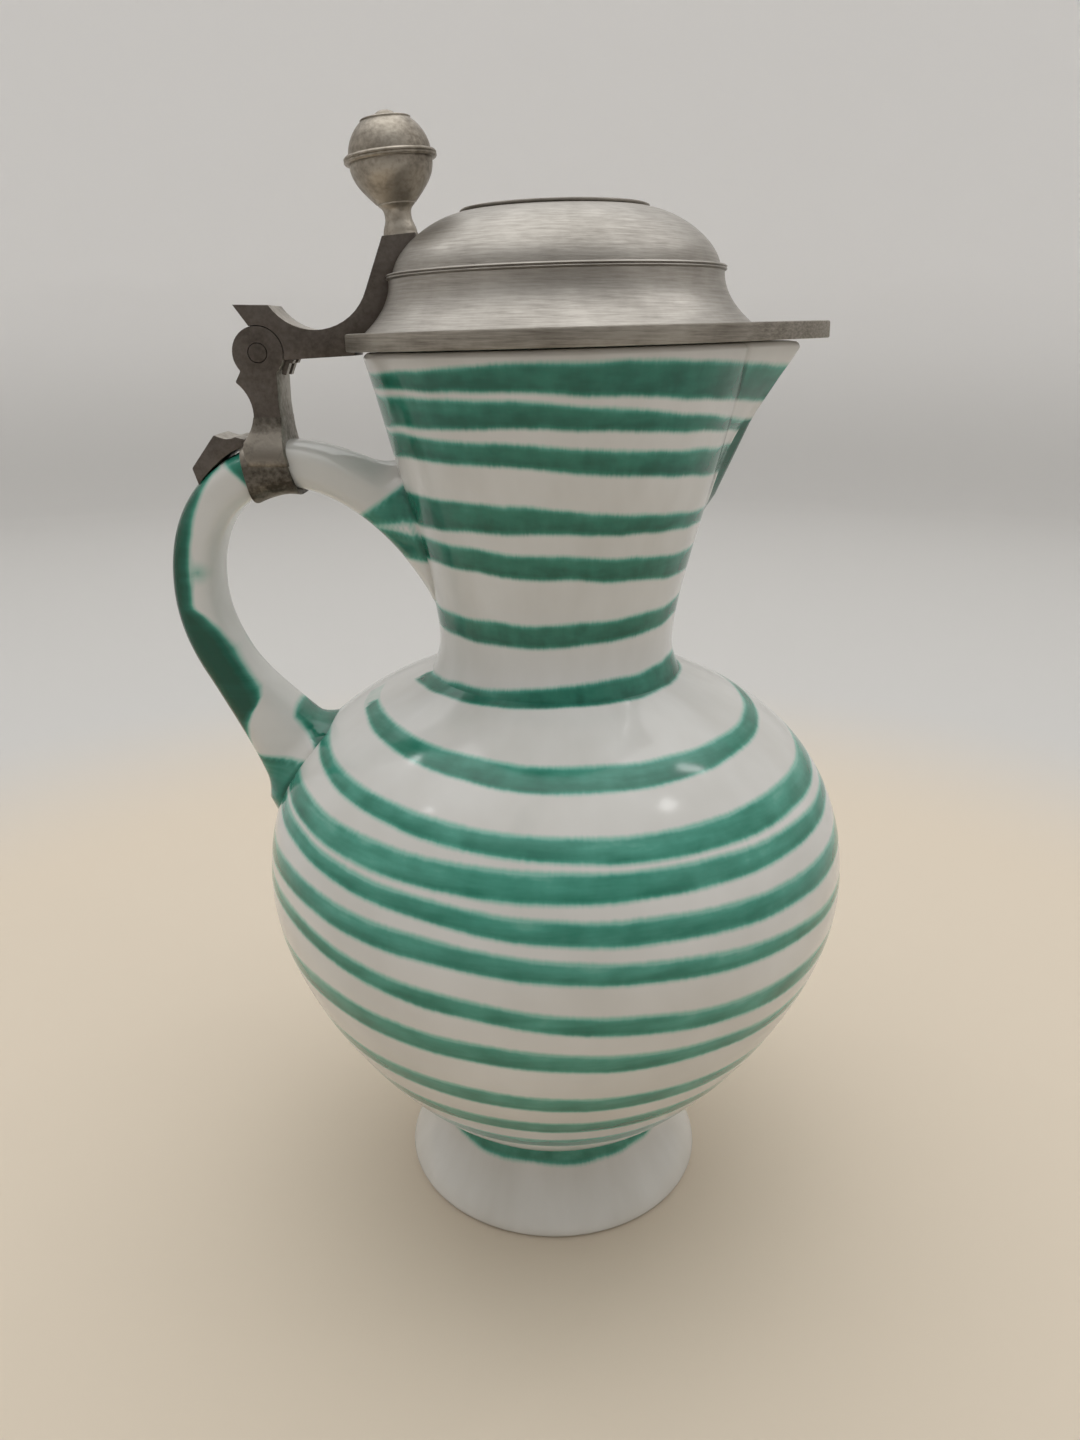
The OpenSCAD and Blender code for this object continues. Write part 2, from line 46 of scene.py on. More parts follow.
# The pot
FOOT_R = 44
FOOT_TOP_R = 33
FOOT_H = 23
FOOT_RING_W = 8
FOOT_EDGE = 1.6
FOOT_JOINT = 0.4
FOOT_PULL = 9
BELLY_R = 79.5
BELLY_Z = 99
CREASE_R = 33.2
CREASE_Z = 155.6
SHOULDER_SLOPE = math.radians(21.5)
WAIST_R = 31
WAIST_Z = 164.6
RIM_R = 47.8
RIM_Z = 237.2
RIM_TILT = math.radians(1.6)
TILT_FROM_Z = 226
RIM_SLOPE = math.tan(math.radians(14.5))
WALL = 5
FLOOR_T = 6

# The pouring lip, whose tip droops a little. Each row of its keel: height, how far the keel stands out from
# the neck, then where the flank bends, so far behind the keel and so far to its side.
LIP_HALF_W = 19.4
LIP_FOOT_HALF_W = 5.5
KEEL_Z = 200.2
LIP_FOOT_Z = 194
LIP_DROOP = 0.3
LIP_DROOP_Z = 230
LIP_TIP_OUT = (9.5, 12.4)
KEEL_EDGE = 0.15
KEEL_HALF_W = 0.6
KEEL_LINE = [
    (196.8, 0, 0.2, 3.0),
    (198.2, 0.9, 0.8, 3.3),
    (200.2, 2.1, 1.8, 3.8),
    (206.0, 3.1, 2.9, 4.4),
    (211.4, 4.1, 3.5, 4.6),
    (219.5, 5.5, 3.0, 3.7),
    (223.5, 6.7, 2.0, 2.8),
    (229.2, 9.1, 1.0, 1.8),
    (233.0, 11.2, 0.8, 1.6),
    (235.2, 12.3, 0.7, 1.5),
    (237.2, 12.4, 0.6, 1.4),
]

# The handle and its mount
HANDLE_W = 18
HANDLE_T = 11.8
HANDLE_TOP_Z = 208.8
HANDLE_REACH = 93.9
HANDLE_OUT_Z = 178
ROOT_TOP_Z = 197.5
ROOT_LOW_Z = 132
BAND_W = 11.0
BAND_T = 1.3
BAND_GAP = 0.2
BAND_LEAN = math.radians(13)
BAND_TURN = math.radians(11)
BAND_FLARE = 0.7
BAND_SHIFT = -0.8
POST_LEFT = 5.3
POST_RIGHT = 4.9
TONGUE_W = 13

# The hinge, with its pin given in the lid's frame
HINGE_W = 14.4
LEAF_GAP = 0.3
LEAF_COUNT = 5
LEAF_PITCH = (HINGE_W + LEAF_GAP) / LEAF_COUNT
LEAF_T = LEAF_PITCH - LEAF_GAP
KNUCKLE_R = 6.2
RELIEF_R = 6.32
PIN_R = 2.3
PIN_FIT = 0.08
PIN_X = -72.3
PIN_RISE = 0.4

# The lid
LID_GAP = 0.3
FLANGE_R = 51.5
FLANGE_T = 4
FLANGE_IN_R = 42
BEAK_X = 66
BEAK_HALF_W = 4
COVE_R = 46.9
BEAD_R = 40.2
BEAD_H = 15.6
BEAD_T = 1.4
DOME_R = 39.2
DOME_TOP_R = 22.8
DOME_H = 29.8
LID_WALL = 2
DISC_R = 22.5
DISC_T = 0.9

# The thumbpiece, on the dome's shoulder towards the handle
THUMB_X = -36.8
THUMB_Z = 25.8
THUMB_LEAN = math.radians(4.4)
BALL_Z = 16.72
BALL_R = 9.75
BALL_SEAT_R = 4.75
BALL_SEAT_Z = 9.7
BALL_CAP_R = 5.7
BALL_WALL = 2
HOLLOW_H = 5.8
RIB_R = 10.85
RIB_T = 0.8
BUTTON_R = 2.7
BUTTON_H = 1.8


def shift(x, y, z):
    """A move given in millimetres."""
    return Matrix.Translation((x * MM, y * MM, z * MM))


# Places: the lid's frame on the tilted rim, the pin's and the thumbpiece's in it
LID_PLACE = shift(0, 0, RIM_Z) @ Matrix.Rotation(-RIM_TILT, 4, "Y") @ shift(0, 0, LID_GAP)
ARM_PLACE = LID_PLACE @ shift(PIN_X, 0, PIN_RISE)
THUMB_PLACE = LID_PLACE @ shift(THUMB_X, 0, THUMB_Z) @ Matrix.Rotation(-THUMB_LEAN, 4, "Y")
PIN_JUG = ARM_PLACE.translation / MM
POST_PLACE = Matrix.Translation(ARM_PLACE.translation)


def smooth(value, low, high):
    """Rises smoothly from 0 at low to 1 at high."""
    share = min(1, max(0, (value - low) / (high - low)))
    return share * share * (3 - 2 * share)


def curve(start, pull_start, pull_end, end, steps):
    """Points on a cubic curve, both ends included."""
    ends = [Vector(p).to_3d() for p in (start, pull_start, pull_end, end)]
    return [Vector((p.x, p.y)) for p in interpolate_bezier(*ends, steps + 1)]


def arc(middle, radius, first, last, steps):
    """Points on an arc about middle, from the first angle to the last, in degrees."""
    angles = [math.radians(first + (last - first) * i / steps) for i in range(steps + 1)]
    return [Vector((middle[0] + radius * math.cos(a), middle[1] + radius * math.sin(a))) for a in angles]


def scoop(start, end, depth, steps):
    """Points strictly between start and end on an arc that swings depth to the right of that line."""
    start, end = Vector(start), Vector(end)
    chord = end - start
    side = Vector((chord.y, -chord.x)).normalized()
    radius = (chord.length_squared / 4 + depth * depth) / (2 * depth)
    middle = (start + end) / 2 + side * (depth - radius)
    half = math.asin(chord.length / 2 / radius)
    out = []
    for i in range(1, steps):
        a = -half + 2 * half * i / steps
        out.append(middle + radius * (side * math.cos(a) + chord.normalized() * math.sin(a)))
    return out


def between(value, table):
    """Reads a table of rising pairs at a value, in straight lines."""
    for (a, b), (c, d) in zip(table, table[1:]):
        if value <= c:
            return b + (d - b) * max(0, value - a) / (c - a)
    return table[-1][1]


# Modelling steps that several pieces share

def start_piece():
    """Leaves nothing selected, so that the next operator acts on its own new piece alone."""
    if bpy.context.object and bpy.context.object.mode == "EDIT":
        bpy.ops.object.mode_set(mode="OBJECT")
    bpy.ops.object.select_all(action="DESELECT")


def edit_all():
    """Opens the active piece for editing, with all of it selected."""
    bpy.ops.object.mode_set(mode="EDIT")
    bpy.ops.mesh.select_all(action="SELECT")


def close_mesh(fill):
    """Welds the active piece's seams, fills its open ends and turns its faces outwards."""
    edit_all()
    bpy.ops.mesh.remove_doubles(threshold=WELD)
    if fill:
        bpy.ops.mesh.fill_holes(sides=0)
    bpy.ops.mesh.select_all(action="SELECT")
    bpy.ops.mesh.normals_make_consistent(inside=False)
    bpy.ops.object.mode_set(mode="OBJECT")


def mark(piece, places):
    """Gives each of a new piece's points the three numbers of its place, which its glaze reads."""
    layer = piece.data.attributes.new("place", "FLOAT_VECTOR", "POINT")
    for item, place in zip(layer.data, places, strict=True):
        item.vector = place


def skin(name, rings, fill=True, round_trip=False, places=None):
    """A grid drawn over rings of points, each ring closed on itself. The ends are filled, or joined to each
    other on a round trip. places holds the rings' rows of places."""
    start_piece()
    rings = [list(ring) + [ring[0]] for ring in rings]
    if round_trip:
        rings.append(rings[0])
    columns = len(rings[0])
    bpy.ops.mesh.primitive_grid_add(x_subdivisions=columns - 1, y_subdivisions=len(rings) - 1)
    piece = bpy.context.object
    piece.name = name
    points = [Vector(p) * MM for ring in rings for p in ring]
    for vert, point in zip(piece.data.vertices, points, strict=True):
        vert.co = point
    if places:
        mark(piece, [place for row in places for place in list(row) + [row[0]]])
    close_mesh(fill and not round_trip)
    return piece


def turned(name, outline, steps=128, places=None):
    """Spins an outline of radius and height round the Z axis. Its edges along the axis are left out."""
    start_piece()
    bpy.ops.mesh.primitive_circle_add(vertices=len(outline))
    piece = bpy.context.object
    piece.name = name
    for vert, point in zip(piece.data.vertices, outline, strict=True):
        vert.co = (point[0] * MM, 0, point[1] * MM)
        vert.select = False
    if places:
        mark(piece, places)
    bpy.context.tool_settings.mesh_select_mode = (False, True, False)
    for edge in piece.data.edges:
        edge.select = all(outline[i][0] == 0 for i in edge.vertices)
    bpy.ops.object.mode_set(mode="EDIT")
    bpy.ops.mesh.delete(type="EDGE")
    bpy.ops.mesh.select_mode(type="VERT")
    bpy.ops.mesh.select_all(action="SELECT")
    bpy.ops.mesh.spin(steps=steps, angle=TURN, center=(0, 0, 0), axis=(0, 0, 1))
    bpy.ops.object.mode_set(mode="OBJECT")
    close_mesh(False)
    return piece


def plate(name, outline, width):
    """Extrudes an outline of x and height to a plate of that width about the middle plane."""
    start_piece()
    bpy.ops.mesh.primitive_circle_add(vertices=len(outline), fill_type="NGON")
    piece = bpy.context.object
    piece.name = name
    for vert, point in zip(piece.data.vertices, outline, strict=True):
        vert.co = (point[0] * MM, -width / 2 * MM, point[1] * MM)
    edit_all()
    bpy.ops.mesh.extrude_region_move(TRANSFORM_OT_translate={"value": (0, width * MM, 0)})
    bpy.ops.object.mode_set(mode="OBJECT")
    close_mesh(False)
    return piece


def pick(piece):
    """Makes a piece the only one selected, and the active one."""
    start_piece()
    piece.select_set(True)
    bpy.context.view_layer.objects.active = piece


def rounded(piece, radius, segments=3, angle=35):
    """Rounds a piece's edges that are sharper than the angle."""
    pick(piece)
    edge = piece.modifiers.new("rounding", "BEVEL")
    edge.width = radius * MM
    edge.segments = segments
    edge.limit_method = "ANGLE"
    edge.angle_limit = math.radians(angle)
    edge.use_clamp_overlap = True
    bpy.ops.object.modifier_apply(modifier=edge.name)


def combine(piece, tool, operation):
    """Cuts a tool out of a piece, or joins it to the piece, and takes the tool away."""
    pick(piece)
    step = piece.modifiers.new("step", "BOOLEAN")
    step.operation = operation
    step.solver = "EXACT"
    step.object = tool
    bpy.ops.object.modifier_apply(modifier=step.name)
    bpy.data.objects.remove(tool)


def drum(y, radius, width):
    """A drum about the pin's axis, for cutting the hinge's slots."""
    start_piece()
    bpy.ops.mesh.primitive_cylinder_add(vertices=64, radius=radius * MM, depth=width * MM,
                                        location=(0, y * MM, 0), rotation=(TURN / 4, 0, 0))
    return bpy.context.object


def settle(piece, place, body, node, finish, angle=30):
    """Puts a piece in its place for good, smooths it, gives it its finish and its body, and hides the CAD
    node it stands in for.
    """
    piece.data.transform(place)
    pick(piece)
    bpy.ops.object.shade_smooth_by_angle(angle=math.radians(angle))
    piece.data.materials.clear()
    piece.data.materials.append(finish)
    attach(piece, body)
    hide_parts(node)


def file_and_light_faces(piece, chosen):
    """Gives the chosen faces of a settled cast piece a lighter tone: filed metal, with a painted highlight
    where the faces turn up or to +X.
    """
    piece.data.materials.append(FILED_LIT_PEWTER)
    for face in piece.data.polygons:
        if chosen(face):
            face.material_index = 1


# The pot's outline from the foot up, and the way along it. Its curves leave their ends with these pulls.
LOW_PULLS = (8, 31)
HIGH_PULLS = (37, 20)
COLLAR_PULL = 3
NECK_PULLS = (10, 45)


def pot_outline(inset):
    start = Vector((FOOT_TOP_R, FOOT_H + (FLOOR_T if inset else 0)))
    full = Vector((BELLY_R - inset, BELLY_Z))
    crease = Vector((CREASE_R - inset, CREASE_Z - inset))
    waist = Vector((WAIST_R - inset, WAIST_Z))
    rim = Vector((RIM_R - inset, RIM_Z))
    slope = Vector((math.cos(SHOULDER_SLOPE), -math.sin(SHOULDER_SLOPE)))
    bend = (crease + waist) / 2 - Vector((0 if inset else (CREASE_R - WAIST_R) / 3, 0))
    rise = Vector((0, 1))
    low = curve(start, start + Vector((LOW_PULLS[0], 0)), full - LOW_PULLS[1] * rise, full, 28)
    high = curve(full, full + HIGH_PULLS[0] * rise, crease + HIGH_PULLS[1] * slope, crease, 30)
    collar = curve(crease, bend, waist - COLLAR_PULL * rise, waist, 8)
    neck = curve(waist, waist + NECK_PULLS[0] * rise, rim - NECK_PULLS[1] * Vector((RIM_SLOPE, 1)), rim, 34)
    return low + high[1:] + collar[1:] + neck[1:]


POT_OUT = pot_outline(0)
POT_IN = pot_outline(WALL)
WAY = [0]
for here, there in zip(POT_OUT, POT_OUT[1:]):
    WAY.append(WAY[-1] + (there - here).length)
Z_TO_R = [(p.y, p.x) for p in POT_OUT]
Z_TO_WAY = [(p.y, w) for p, w in zip(POT_OUT, WAY)]


def pot_r(z):
    return between(z, Z_TO_R)


def way_at(z):
    """Way along the wall at a height. On the foot it runs on below zero."""
    return between(z, Z_TO_WAY) if z > FOOT_H else z - FOOT_H


# Finishes

def linear(code):
    """A colour written as sRGB hex, in the linear values that a shader takes."""
    parts = [int(code[i:i + 2], 16) / 255 for i in (1, 3, 5)]
    return [p / 12.92 if p <= 0.04045 else ((p + 0.055) / 1.055) ** 2.4 for p in parts] + [1]


def feed(node, links):
    """Fills a node's inputs, by name or in a row, each with an output to link or with a value."""
    for key, source in links.items() if isinstance(links, dict) else enumerate(links):
        if isinstance(source, bpy.types.NodeSocket):
            node.id_data.links.new(source, node.inputs[key])
        else:
            node.inputs[key].default_value = source


def add(tree, kind, links=(), out=0, **settings):
    """Adds a node with its settings and links, and gives back one of its outputs, or all of them for None.
    A mathematical node's kind ends with its operation, after a point."""
    kind, _, operation = kind.partition(".")
    node = tree.nodes.new("ShaderNode" + kind)
    if operation:
        node.operation = operation
    for name, value in settings.items():
        setattr(node, name, value)
    feed(node, links)
    return node.outputs if out is None else node.outputs[out]


# A MapRange node takes a value, its lowest and highest, and what these become if not 0 and 1
EASED = {"interpolation_type": "SMOOTHSTEP"}


def new_finish(name):
    """An empty material with its shader, ready for its nodes."""
    finish = bpy.data.materials.new(name)
    finish.use_nodes = True
    tree = finish.node_tree
    return finish, tree, tree.nodes["Principled BSDF"]


def set_ramp(output, stops):
    """Gives the colour ramp of an output its stops in rising order, each a position and a colour."""
    ramp = output.node.color_ramp
    for item, (position, code) in zip(ramp.elements, (stops[0], stops[-1])):
        item.position = position
        item.color = linear(code)
    for position, code in stops[1:-1]:
        ramp.elements.new(position).color = linear(code)
    return output


# The hand-brushed stripes. Each row: height of the stripe's middle at the left, front and right
# of the jug (60 degrees off the front at the sides), then its breadth there, along the wall.
STRIPES = [
    (230.6, 231.5, 229.4, 4.5, 7.0, 8.0),
    (223.3, 223.4, 220.3, 7.4, 5.9, 3.4),
    (215.5, 214.2, 211.8, 6.0, 5.6, 6.6),
    (199.8, 200.0, 198.3, 8.2, 6.2, 4.0),
    (190.2, 189.0, 187.2, 6.1, 6.2, 6.4),
    (172.0, 172.0, 174.1, 6.0, 6.2, 5.2),
    (155.0, 156.4, 158.2, 5.2, 6.0, 6.8),
    (147.2, 144.8, 145.8, 5.4, 7.6, 5.6),
    (137.5, 133.3, 133.4, 4.4, 6.4, 7.6),
    (128.4, 126.3, 126.1, 6.6, 7.2, 5.2),
    (122.4, 117.6, 115.2, 4.7, 5.8, 6.3),
    (112.3, 108.9, 103.7, 5.7, 5.8, 3.7),
    (103.9, 95.8, 90.8, 4.2, 5.5, 6.0),
    (88.7, 83.8, 80.2, 7.0, 6.7, 3.8),
    (69.8, 66.9, 64.3, 6.8, 7.5, 5.4),
    (54.2, 53.8, 52.6, 7.2, 7.8, 6.6),
    (41.0, 41.4, 41.0, 7.4, 8.6, 7.4),
    (20.0, 20.0, 20.0, 6.0, 6.0, 6.0),
]


# At the sides the stripes have this share of the rise that they have at the front
SIDE_SHARE = 0.5625


def stripe_terms(left, front, right):
    """Shares of sin(angle), of the front's rise and of 1 that give the three values round the jug."""
    side = (left + right) / 2
    rise = (front - side) / (1 - SIDE_SHARE)
    return (right - left) / (2 * math.sin(TURN / 6)), rise, front - rise


def add_stripes(tree, across, front, height):
    """Distance inside the nearest stripe, in millimetres, and how low in it a point lies, from 0 to 1.
    Three stripes at a time are worked out as the three parts of a vector."""
    for first in range(0, len(STRIPES), 3):
        terms = []
        for row in STRIPES[first:first + 3]:
            halves = [breadth / 2 for breadth in row[3:]]
            terms.append(stripe_terms(*[way_at(z) for z in row[:3]]) + stripe_terms(*halves))
        terms = list(zip(*terms))
        values = []
        for sides, rises, start in (terms[:3], terms[3:]):
            value = add(tree, "VectorMath.MULTIPLY_ADD", (across, sides, start))
            values.append(add(tree, "VectorMath.MULTIPLY_ADD", (front, rises, value)))
        middle, half = values
        below = add(tree, "VectorMath.SUBTRACT", (middle, height))
        size = add(tree, "VectorMath.ABSOLUTE", (below,))
        depth = add(tree, "VectorMath.SUBTRACT", (half, size))
        share = add(tree, "VectorMath.DIVIDE", (below, half))
        edge = add(tree, "VectorMath.MULTIPLY_ADD", (share, (-3, -3, -3), (3, 3, 3)))
        lower = add(tree, "VectorMath.MINIMUM", (share, edge))
        if first:
            depth = add(tree, "VectorMath.MAXIMUM", (inside, depth))
            lower = add(tree, "VectorMath.MAXIMUM", (low, lower))
        inside = depth
        low = lower
    results = []
    for vector in (inside, low):
        a, b, c = add(tree, "SeparateXYZ", (vector,), None)
        most = add(tree, "Math.MAXIMUM", (a, b))
        results.append(add(tree, "Math.MAXIMUM", (most, c)))
    return results


# Patterns in the glaze. Each row: scale round the jug, where one unit of heading is about 60 mm,
# scale along the wall in millimetres, and detail.
GLAZE_PATTERNS = (
    (60, 0.12, 2),  # runs: upright streaks about 1 mm wide and 8 mm long
    (4, 0.33, 3),  # brush marks 3 mm across
    (8, 0.12, 3),  # pools 8 mm long
    (2.5, 0.03, 3),  # clouds in the white, about 30 mm long
    (4, 0.1, 1),  # gentle waves of the surface, about 15 mm long
)
WOBBLE_SCALE = (2.2, 2.2, 0.03)
WOBBLE = 1.2
SPECK_GAP = 0.017
WAVE_H = 0.12
GREENS = ((0.30, "#83BBAB"), (0.46, "#4C9A87"), (0.62, "#2E7C68"), (0.78, "#196250"), (1.0, "#084C38"))
WHITES = ((0.3, "#DEDDDA"), (0.7, "#D1CFCA"), (1.0, "#B4B6AF"))
IRON = "#4A4038"


def brushed_glaze(name, on_handle):
    """Tin-white earthenware glaze over brushed copper-green: glossy and a little wavy. The green fades
    through mint at its edges, is darker low in each stripe and darkest in creases, with painted shade."""
    finish, tree, shader = new_finish(name)
    place = add(tree, "Attribute", out="Vector", attribute_name="place")
    way, reach, crease = add(tree, "SeparateXYZ", (place,), None)
    point = add(tree, "TexCoord", out="Object")
    flat = add(tree, "VectorMath.MULTIPLY", (point, (1, 1, 0)))
    heading = add(tree, "VectorMath.NORMALIZE", (flat,))
    across, back, _ = add(tree, "SeparateXYZ", (heading,), None)
    on_wall = add(tree, "CombineXYZ", (across, back, way))
    patterns = []
    for round_scale, wall_scale, detail in GLAZE_PATTERNS:
        scale = (round_scale, round_scale, wall_scale)
        at = add(tree, "VectorMath.MULTIPLY", (on_wall, scale))
        patterns.append(add(tree, "TexNoise", {"Vector": at, "Scale": 1, "Detail": detail}))
    runs, brush, pool, cloud, wave = patterns

    # The painted area: on the handle it is marked on the points, and round the pot the stripes are
    # worked out, with the hand's slow wobble, about 30 mm long and a millimetre high
    if on_handle:
        inside = reach
        tone = add(tree, "MapRange", (inside, 0, 3.5, -0.05, 0.4))
    else:
        front = add(tree, "Math.MULTIPLY_ADD", (back, -0.5, 0.5))
        front = add(tree, "Math.POWER", (front, 2))
        at = add(tree, "VectorMath.MULTIPLY", (on_wall, WOBBLE_SCALE))
        wobble = add(tree, "TexNoise", {"Vector": at, "Scale": 1, "Detail": 1})
        wobble = add(tree, "Math.MULTIPLY_ADD", (wobble, 2 * WOBBLE, -WOBBLE))
        height = add(tree, "Math.ADD", (way, wobble))
        inside, low = add_stripes(tree, across, front, height)
        inside = add(tree, "Math.MINIMUM", (inside, reach))
        # A crease below zero is the fold under the lip, which is painted dark green right through as
        # painted shade
        fold_shade = add(tree, "Math.MULTIPLY_ADD", (crease, -24, -9))
        inside = add(tree, "Math.MAXIMUM", (inside, fold_shade))
        fold_shade_low = add(tree, "Math.MULTIPLY_ADD", (crease, -2, -1))
        low = add(tree, "Math.MAXIMUM", (low, fold_shade_low))
        # The stripes are painted lighter on the shoulder and darker on the neck: a painted sheen of the
        # light from above
        full = add(tree, "MapRange", (way, way_at(138), way_at(158), -0.06, 0.1))
        tone = add(tree, "Math.MULTIPLY_ADD", (low, 0.11, full))

    # The runs fray the edges by about a quarter of a millimetre
    fray = 0.3 if on_handle else 0.55
    frayed = add(tree, "Math.MULTIPLY_ADD", (runs, fray, -fray / 2))
    frayed = add(tree, "Math.ADD", (inside, frayed))
    cover = add(tree, "MapRange", (frayed, -0.8, 0.65), **EASED)

    # Tone of the green: brush marks and pools, the fade at the edges over 1.5 mm, painted shade in creases
    core = add(tree, "MapRange", (frayed, -0.2, 1.5), **EASED)
    crease_shade = add(tree, "Math.ABSOLUTE", (crease,))
    for layer, share in ((brush, 0.32), (pool, 0.32), (core, 0.28), (crease_shade, 0.35)):
        tone = add(tree, "Math.MULTIPLY_ADD", (layer, share, tone))
    green = set_ramp(add(tree, "ValToRGB", (tone,)), GREENS)

    # White glaze, a little greyer where it is thin, with painted shade in creases, and iron specks half a
    # millimetre wide
    cloud = add(tree, "Math.MULTIPLY_ADD", (crease, 0.35, cloud))
    white = set_ramp(add(tree, "ValToRGB", (cloud,)), WHITES)
    colour = add(tree, "Mix", {"Factor": cover, "A": white, "B": green}, "Result", data_type="RGBA")
    cells = add(tree, "TexVoronoi", {"Vector": point, "Scale": 1 / SPECK_GAP}, None)
    chosen = add(tree, "SeparateColor", (cells["Color"],))
    dot_size = add(tree, "MapRange", (chosen, 0.7, 1, 0, 0.03))
    speck = add(tree, "Math.LESS_THAN", (cells["Distance"], dot_size))
    speck = add(tree, "Math.MULTIPLY", (speck, 0.7))
    colour = add(tree, "Mix", {"Factor": speck, "A": colour, "B": linear(IRON)}, "Result", data_type="RGBA")
    relief = add(tree, "Bump", {"Height": wave, "Strength": 1, "Distance": WAVE_H * MM})
    feed(shader, {"Base Color": colour, "Normal": relief, "Roughness": 0.13, "IOR": 1.48})
    return finish


# Sizes in pewter: rings, grain, pits and blotches, in metres
RING_GAP = 0.0005
GRAIN = 0.0012
PITS = 0.004
BLOTCH = 0.014


def worked_pewter(name, light, dark, shine, dull, spun, pitted, lit_belt=None):
    """Pewter, a soft grey tin alloy. Spun pieces have rings from the lathe, drawn coarser than real ones so
    that they show, and cast ones are pitted. The last argument holds the heights where a belt of painted
    light starts, is full, begins to fade and ends; outside it the pewter is darker, as painted shade."""
    finish, tree, shader = new_finish(name)
    point = add(tree, "TexCoord", out="Object")
    blotch = add(tree, "TexNoise", {"Vector": point, "Scale": 1 / BLOTCH, "Detail": 4, "Roughness": 0.6})
    if spun:
        flat = add(tree, "VectorMath.MULTIPLY", (point, (1, 1, 0)))
        radius = add(tree, "VectorMath.LENGTH", (flat,), "Value")
        heading = add(tree, "VectorMath.NORMALIZE", (flat,))
        across = add(tree, "SeparateXYZ", (heading,))
        level = add(tree, "SeparateXYZ", (point,), 2)
        ring_at = add(tree, "CombineXYZ", (radius, level, across))
        ring_at = add(tree, "VectorMath.MULTIPLY", (ring_at, (1 / RING_GAP, 1 / RING_GAP, 6)))
        grain = add(tree, "TexNoise", {"Vector": ring_at, "Scale": 1, "Detail": 4, "Roughness": 0.65})
    else:
        grain = add(tree, "TexNoise", {"Vector": point, "Scale": 1 / GRAIN, "Detail": 3, "Roughness": 0.6})
    fine, broad = (0.6, 0.5) if spun else (0.45, 1)
    mixed = add(tree, "Math.MULTIPLY_ADD", (grain, fine, 0.5 - (fine + broad) / 2))
    mixed = add(tree, "Math.MULTIPLY_ADD", (blotch, broad, mixed))
    # A lighter belt between the given heights, painted light, with darker pewter outside it, painted shade
    if lit_belt:
        level = add(tree, "SeparateXYZ", (point,), 2)
        starts, full, fades, ends = [height * MM for height in lit_belt]
        rise = add(tree, "MapRange", (level, starts, full), **EASED)
        fall = add(tree, "MapRange", (level, ends, fades), **EASED)
        belt = add(tree, "Math.MULTIPLY", (rise, fall))
        belt = add(tree, "Math.MULTIPLY_ADD", (belt, 0.22, -0.13))
        mixed = add(tree, "Math.ADD", (mixed, belt))
    colour = set_ramp(add(tree, "ValToRGB", (mixed,)), ((0.3, dark), (0.62, light)))
    rough = add(tree, "MapRange", (mixed, 0.3, 0.7, dull, shine))
    relief = add(tree, "Bump", {"Height": grain, "Strength": 1, "Distance": (0.03 + pitted * 0.09) * MM})
    if pitted:
        pits = add(tree, "TexNoise", {"Vector": point, "Scale": 1 / PITS, "Detail": 3})
        relief = add(tree, "Bump", {"Height": pits, "Strength": 1, "Distance": pitted * 0.5 * MM,
                                    "Normal": relief})
    feed(shader, {"Base Color": colour, "Roughness": rough, "Normal": relief, "Metallic": 1})
    return finish


JUG_GLAZE = brushed_glaze("striped_tin_glaze", False)
HANDLE_GLAZE = brushed_glaze("brushed_handle_glaze", True)
SPUN_PEWTER = worked_pewter("spun_pewter", "#AEA9A2", "#8B867F", 0.36, 0.5, True, 0)
FLANGE_PEWTER = worked_pewter("scraped_flange_pewter", "#A39D93", "#6F685F", 0.4, 0.6, True, 0.12)
BALL_PEWTER = worked_pewter("mottled_ball_pewter", "#ABA397", "#746C61", 0.34, 0.52, False, 0.35)
CAST_PEWTER = worked_pewter("dark_cast_pewter", "#6E6761", "#534C46", 0.42, 0.56, False, 0.08)
# The band is lighter across its upper flank, painted light, and darker below, painted shade
BAND_PEWTER = worked_pewter("lit_belt_band_pewter", "#8C857B", "#454039", 0.38, 0.56, False, 0.25,
                            (207.8, 212, 215.5, 222))
FILED_LIT_PEWTER = worked_pewter("filed_and_lit_pewter", "#A9A39A", "#6E675E", 0.4, 0.6, False, 0.4)


# The pot's wall, drawn in rows from the middle of its underside over the rim to the middle of its floor

RIM_ROUND = 1.5
RIM_ROUND_IN = 2.2
UNDERSIDE_ROWS = (0, 12, 24)
FLOOR_ROWS = (22, 11, 0)
PAINTED = 50


def wall_rows():
    """Rows of radius, height, way along the outside and how far into the painted side the row lies."""
    rows = [(r, FOOT_H, 0, -PAINTED) for r in UNDERSIDE_ROWS]
    top = RIM_Z - RIM_ROUND
    for point, way in zip(POT_OUT, WAY):
        if point.y < top - 0.5:
            rows.append((point.x, point.y, way, PAINTED))
    for point in arc((pot_r(top) - RIM_ROUND, top), RIM_ROUND, 0, 90, 6):
        rows.append((point.x, point.y, WAY[-1] + point.y - RIM_Z, PAINTED))
    top = RIM_Z - RIM_ROUND_IN
    for point in arc((RIM_R - WALL + RIM_ROUND_IN - 0.5, top), RIM_ROUND_IN, 90, 180, 6):
        rows.append((point.x, point.y, WAY[-1] + point.y - RIM_Z, -PAINTED))
    for point in reversed(POT_IN):
        if point.y < top - 0.5:
            rows.append((point.x, point.y, between(point.y, Z_TO_WAY), -PAINTED))
    return rows + [(r, FOOT_H + FLOOR_T, 0, -PAINTED) for r in FLOOR_ROWS]


# Where the brush set down and was lifted, beside the handle. Each row: the height of the stripe there,
# then the headings from +X where it is lifted, where a faint smear begins and where it sets down.
STROKE_ENDS = [(148.1, 158, 176, 190.5), (155.0, 152, 188.5, 188.5)]
STROKE_REACH = 3.5
STROKE_ROUND = 2
FAINT_SMEAR = -0.3


